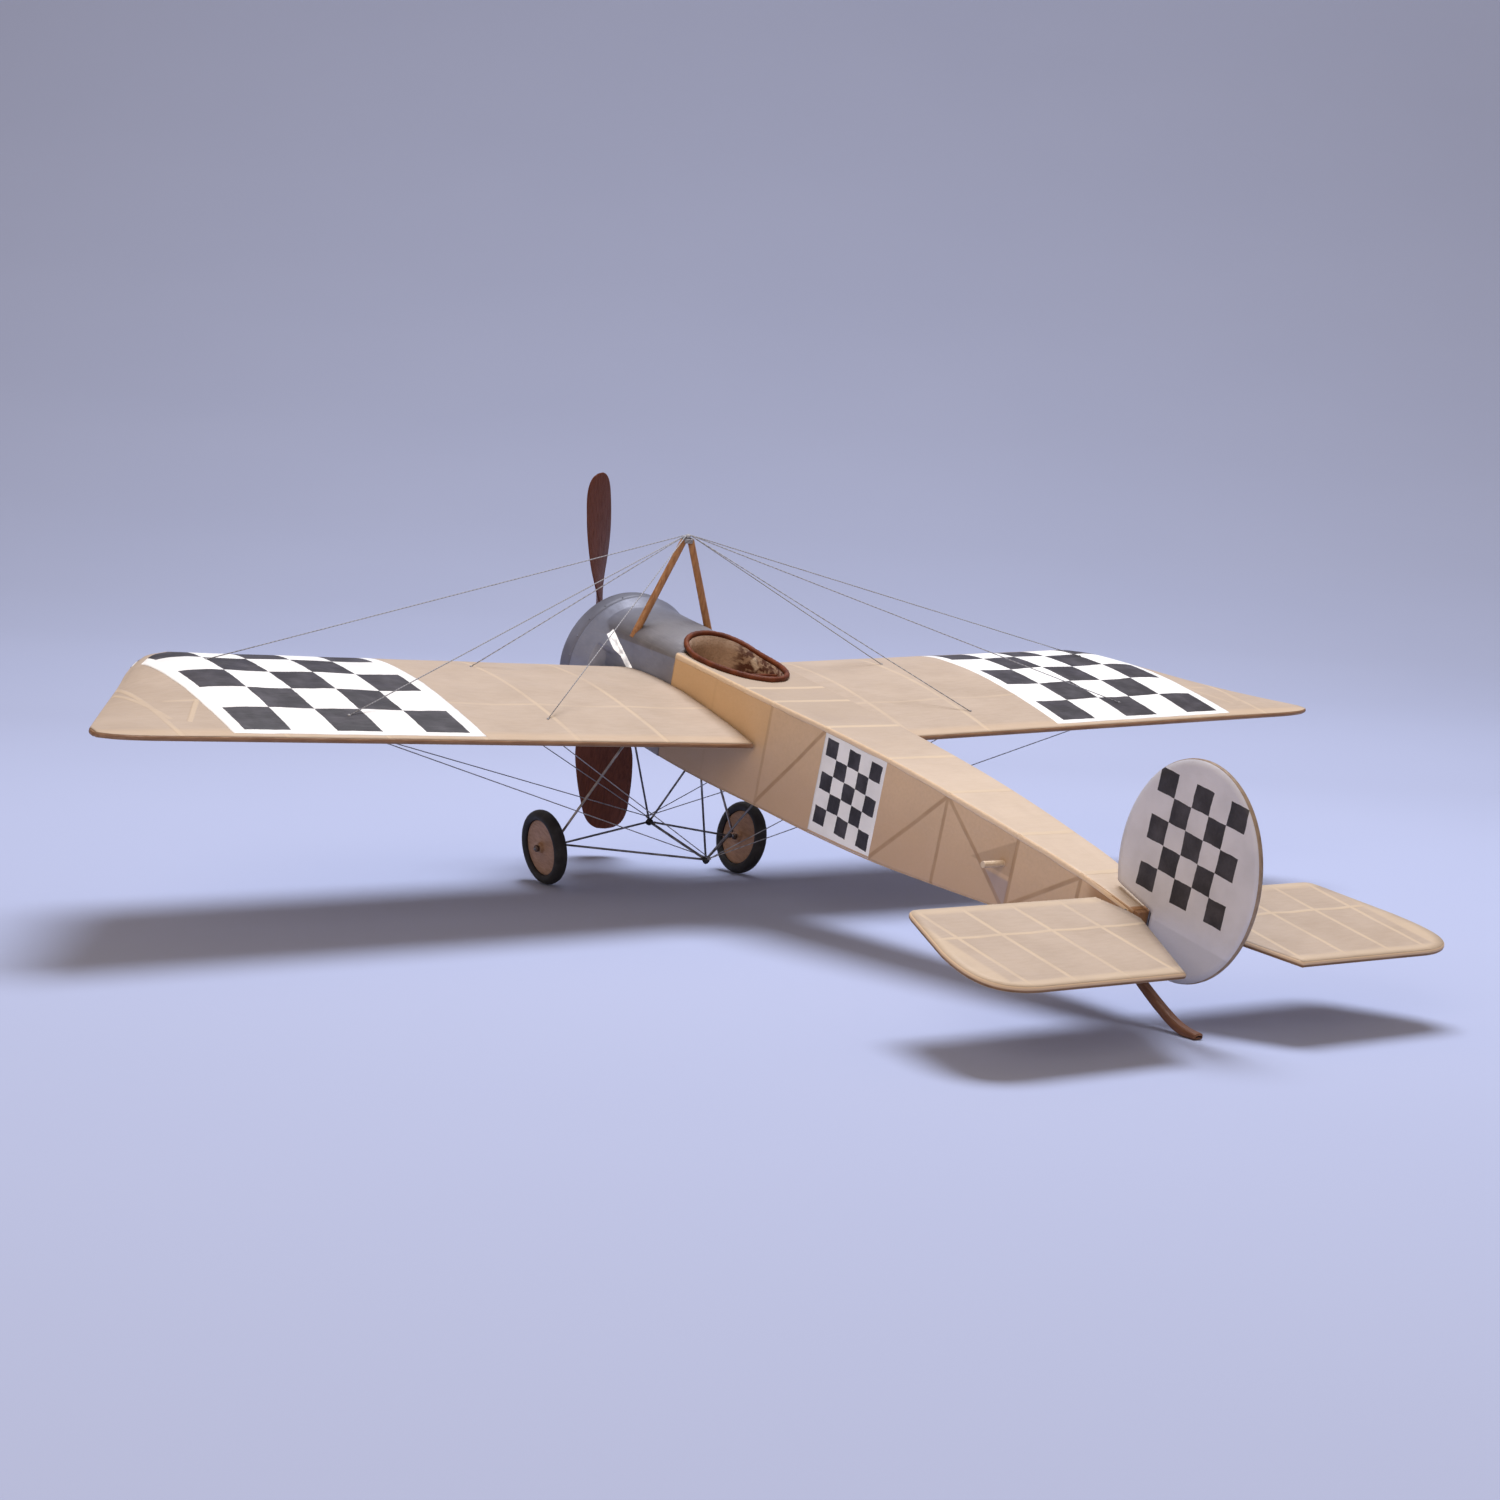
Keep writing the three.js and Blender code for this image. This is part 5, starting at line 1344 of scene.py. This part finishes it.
# ---- tail ----
def rudder_outline(inset):
    """The oval with its corner cut away over the fuselage, as (y, z) points. The cut falls aft with
    the tissue below it."""
    cy, cz = RUDDER["y"], RUDDER["z"]
    cut_y, cut_z, fall = RUDDER["cut_y"] + inset, RUDDER["cut_z"] + inset, RUDDER["cut_fall"]
    front = cy - RUDDER["ry"]
    points = []
    for angle in turns(150):
        wy, wz = math.cos(angle), math.sin(angle)
        reach = 1 / math.sqrt((wy / (RUDDER["ry"] - inset)) ** 2 + (wz / (RUDDER["rz"] - inset)) ** 2)
        y, z = cy + reach * wy, cz + reach * wz
        if y < cut_y and z < cut_z + fall * (y - front):
            sinking = wz - fall * wy
            reach = min(reach, max((cut_y - cy) / wy if wy < 0 else 0,
                                   (cut_z + fall * (cy - front) - cz) / sinking if sinking < 0 else 0))
            y, z = cy + reach * wy, cz + reach * wz
        points.append((y, z))
    return points


def ring_plate(outer, inner, half, place):
    """A rounded border between two outlines of equally many points, half thick each way."""
    rings = []
    for share, face in ((1, 1), (0.5, 1.04), (0.16, 0.96), (0.04, 0.62), (0, 0), (0.04, -0.62),
                        (0.16, -0.96), (0.5, -1.04), (1, -1)):
        rings.append([place(a[0] + (b[0] - a[0]) * share, a[1] + (b[1] - a[1]) * share, half * face)
                      for a, b in zip(outer, inner)])
    points = [p for ring in rings for p in ring]
    return facing_out((points, grid_faces(len(rings), len(outer), wrap_rows=True, wrap_columns=True)))


def filled(outline, height, place, hollow, rings=9):
    """A thin skin inside an outline, slightly hollow between its edges."""
    cy = sum(p[0] for p in outline) / len(outline)
    cz = sum(p[1] for p in outline) / len(outline)
    points, count = [], len(outline)
    for i in range(rings):
        share = 1 - i / rings
        for a, b in outline:
            dip = hollow(cy + (a - cy) * share, cz + (b - cz) * share) * ease(i, 0, 3)
            points.append(place(cy + (a - cy) * share, cz + (b - cz) * share, height - dip))
    points.append(place(cy, cz, height - hollow(cy, cz)))
    faces = grid_faces(rings, count, wrap_columns=True)
    last = (rings - 1) * count
    faces += [(last + k, last + (k + 1) % count, len(points) - 1) for k in range(count)]
    return points, faces


def build_rudder():
    half = RUDDER["thick"] / 2
    place = lambda a, b, h: (h, a, b)
    outer, inner = rudder_outline(0), rudder_outline(2.2)
    add("rudder_rim", *ring_plate(outer, inner, half, place), "rudder_rim", body="rudder",
        replaces=["rudder_frame"])
    hollow = lambda a, b: 0.12 * (math.sin(b / 33 * math.pi) ** 2) + 0.08 * rough((a, b, 0), 9, 2)
    add_pair("rudder_skin", *filled(rudder_outline(0.45), half + 0.1, place, hollow, 14),
             "rudder_panel", "rudder_cover", body="rudder", thickness=0.1)


def elevator_outline():
    """The left elevator seen from above, as (x, y) points at even steps."""
    front, rear = ELEVATOR["front"], ELEVATOR["rear"]
    corners = [(14.2, front), (112, front)]
    corners += bezier([(112, front), (121, front), (121, front), (124.5, 402)], between(0, 1, 10)[1:-1])
    corners += [(135.5, 436)]
    corners += bezier([(135.5, 436), (141, 458), (141, rear), (112, rear)],
                      between(0, 1, 26)[1:-1])
    corners += [(35, rear), (9.4, 420), (9.4, 412)]
    points = []
    for (x0, y0), (x1, y1) in zip(corners, corners[1:] + corners[:1]):
        steps = max(1, int(math.dist((x0, y0), (x1, y1)) / 2.5))
        points += [(x0 + (x1 - x0) * i / steps, y0 + (y1 - y0) * i / steps) for i in range(steps)]
    return points


def shrunk(outline, inset):
    """The outline moved inwards along its own normals, without loops at its sharp corners."""
    result, count = [], len(outline)
    for i, (x, y) in enumerate(outline):
        ax, ay = outline[i - 1]
        bx, by = outline[(i + 1) % count]
        way = Vector((bx - ax, by - ay)).normalized()
        moved = (x - way.y * inset, y + way.x * inset)
        clear = min(math.dist(moved, point) for point in outline) > inset * 0.9
        result.append(moved if clear else None)
    first = next(point for point in result if point)
    for i, point in enumerate(result):
        result[i] = point or (result[i - 1] if i else first)
    return result


def build_elevators():
    half, z = ELEVATOR["thick"] / 2, ELEVATOR["z"]
    outer = elevator_outline()
    inner, skin_line = shrunk(outer, 3.4), shrunk(outer, 0.6)

    def hollow(x, y):
        bay = (x - TAIL_RIBS[0]) / TAIL_PITCH
        return 0.35 * math.sin(math.pi * (bay % 1)) ** 2 + 0.1 * rough((x, y, 0), 9, 2)

    place = lambda a, b, h: (a, b, z + h)
    add_pair("elevator_rim", *ring_plate(outer, inner, half, place), "tail_wood",
             "elevator_frame", body="elevator")
    upper = filled(skin_line, half + 0.1, place, hollow, 12)
    points, faces = filled(skin_line, -half - 0.1, place, lambda a, b: -hollow(a, b), 12)
    add_pair("elevator_skin", *merged(upper, (points, flipped(faces))), "tail",
             "elevator_cover", body="elevator", thickness=0.1)


# ---- carried-over CAD nodes ----
def dress(nodes, finish, round_edges=0.0):
    """Gives CAD nodes a finish, and rounds their sharp edges a little."""
    for name in nodes:
        piece = frame["nodes"][name]
        piece.data.materials.clear()
        piece.data.materials.append(FINISH[finish])
        if round_edges:
            bevel = piece.modifiers.new("edges", "BEVEL")
            bevel.width, bevel.segments, bevel.limit_method = round_edges * MM, 2, "ANGLE"


def dress_cad():
    both = lambda name: [name + "_left", name + "_right"]
    dress([*both("fuselage_frame"), *both("wing_frame"), *both("wing_leading_edge"), "firewall",
           *[f"cross_frame_{i}" for i in (1, 2, 3, 4)]], "balsa")
    dress(["nose_block"], "balsa", 0.3)
    dress(["motor_peg"], "balsa_pale", 0.3)
    dress(["sternpost", "tail_block"], "stern_wood", 0.3)
    dress(["propeller_shaft", "rudder_hinge_pin", "elevator_joiner"], "steel")
    dress(["thrust_washer", "thrust_bearing"], "brass", 0.1)
    dress(["rubber_motor"], "motor")


camera()
light()
stage()
dress_cad()
build_wings()
build_top_skin()
build_side_skins()
build_bottom_skin()
build_fairing()
build_cowl()
build_engine()
build_cockpit()
build_propeller()
build_kingpost()
build_rigging()
build_gear()
build_skid()
build_rudder()
build_elevators()
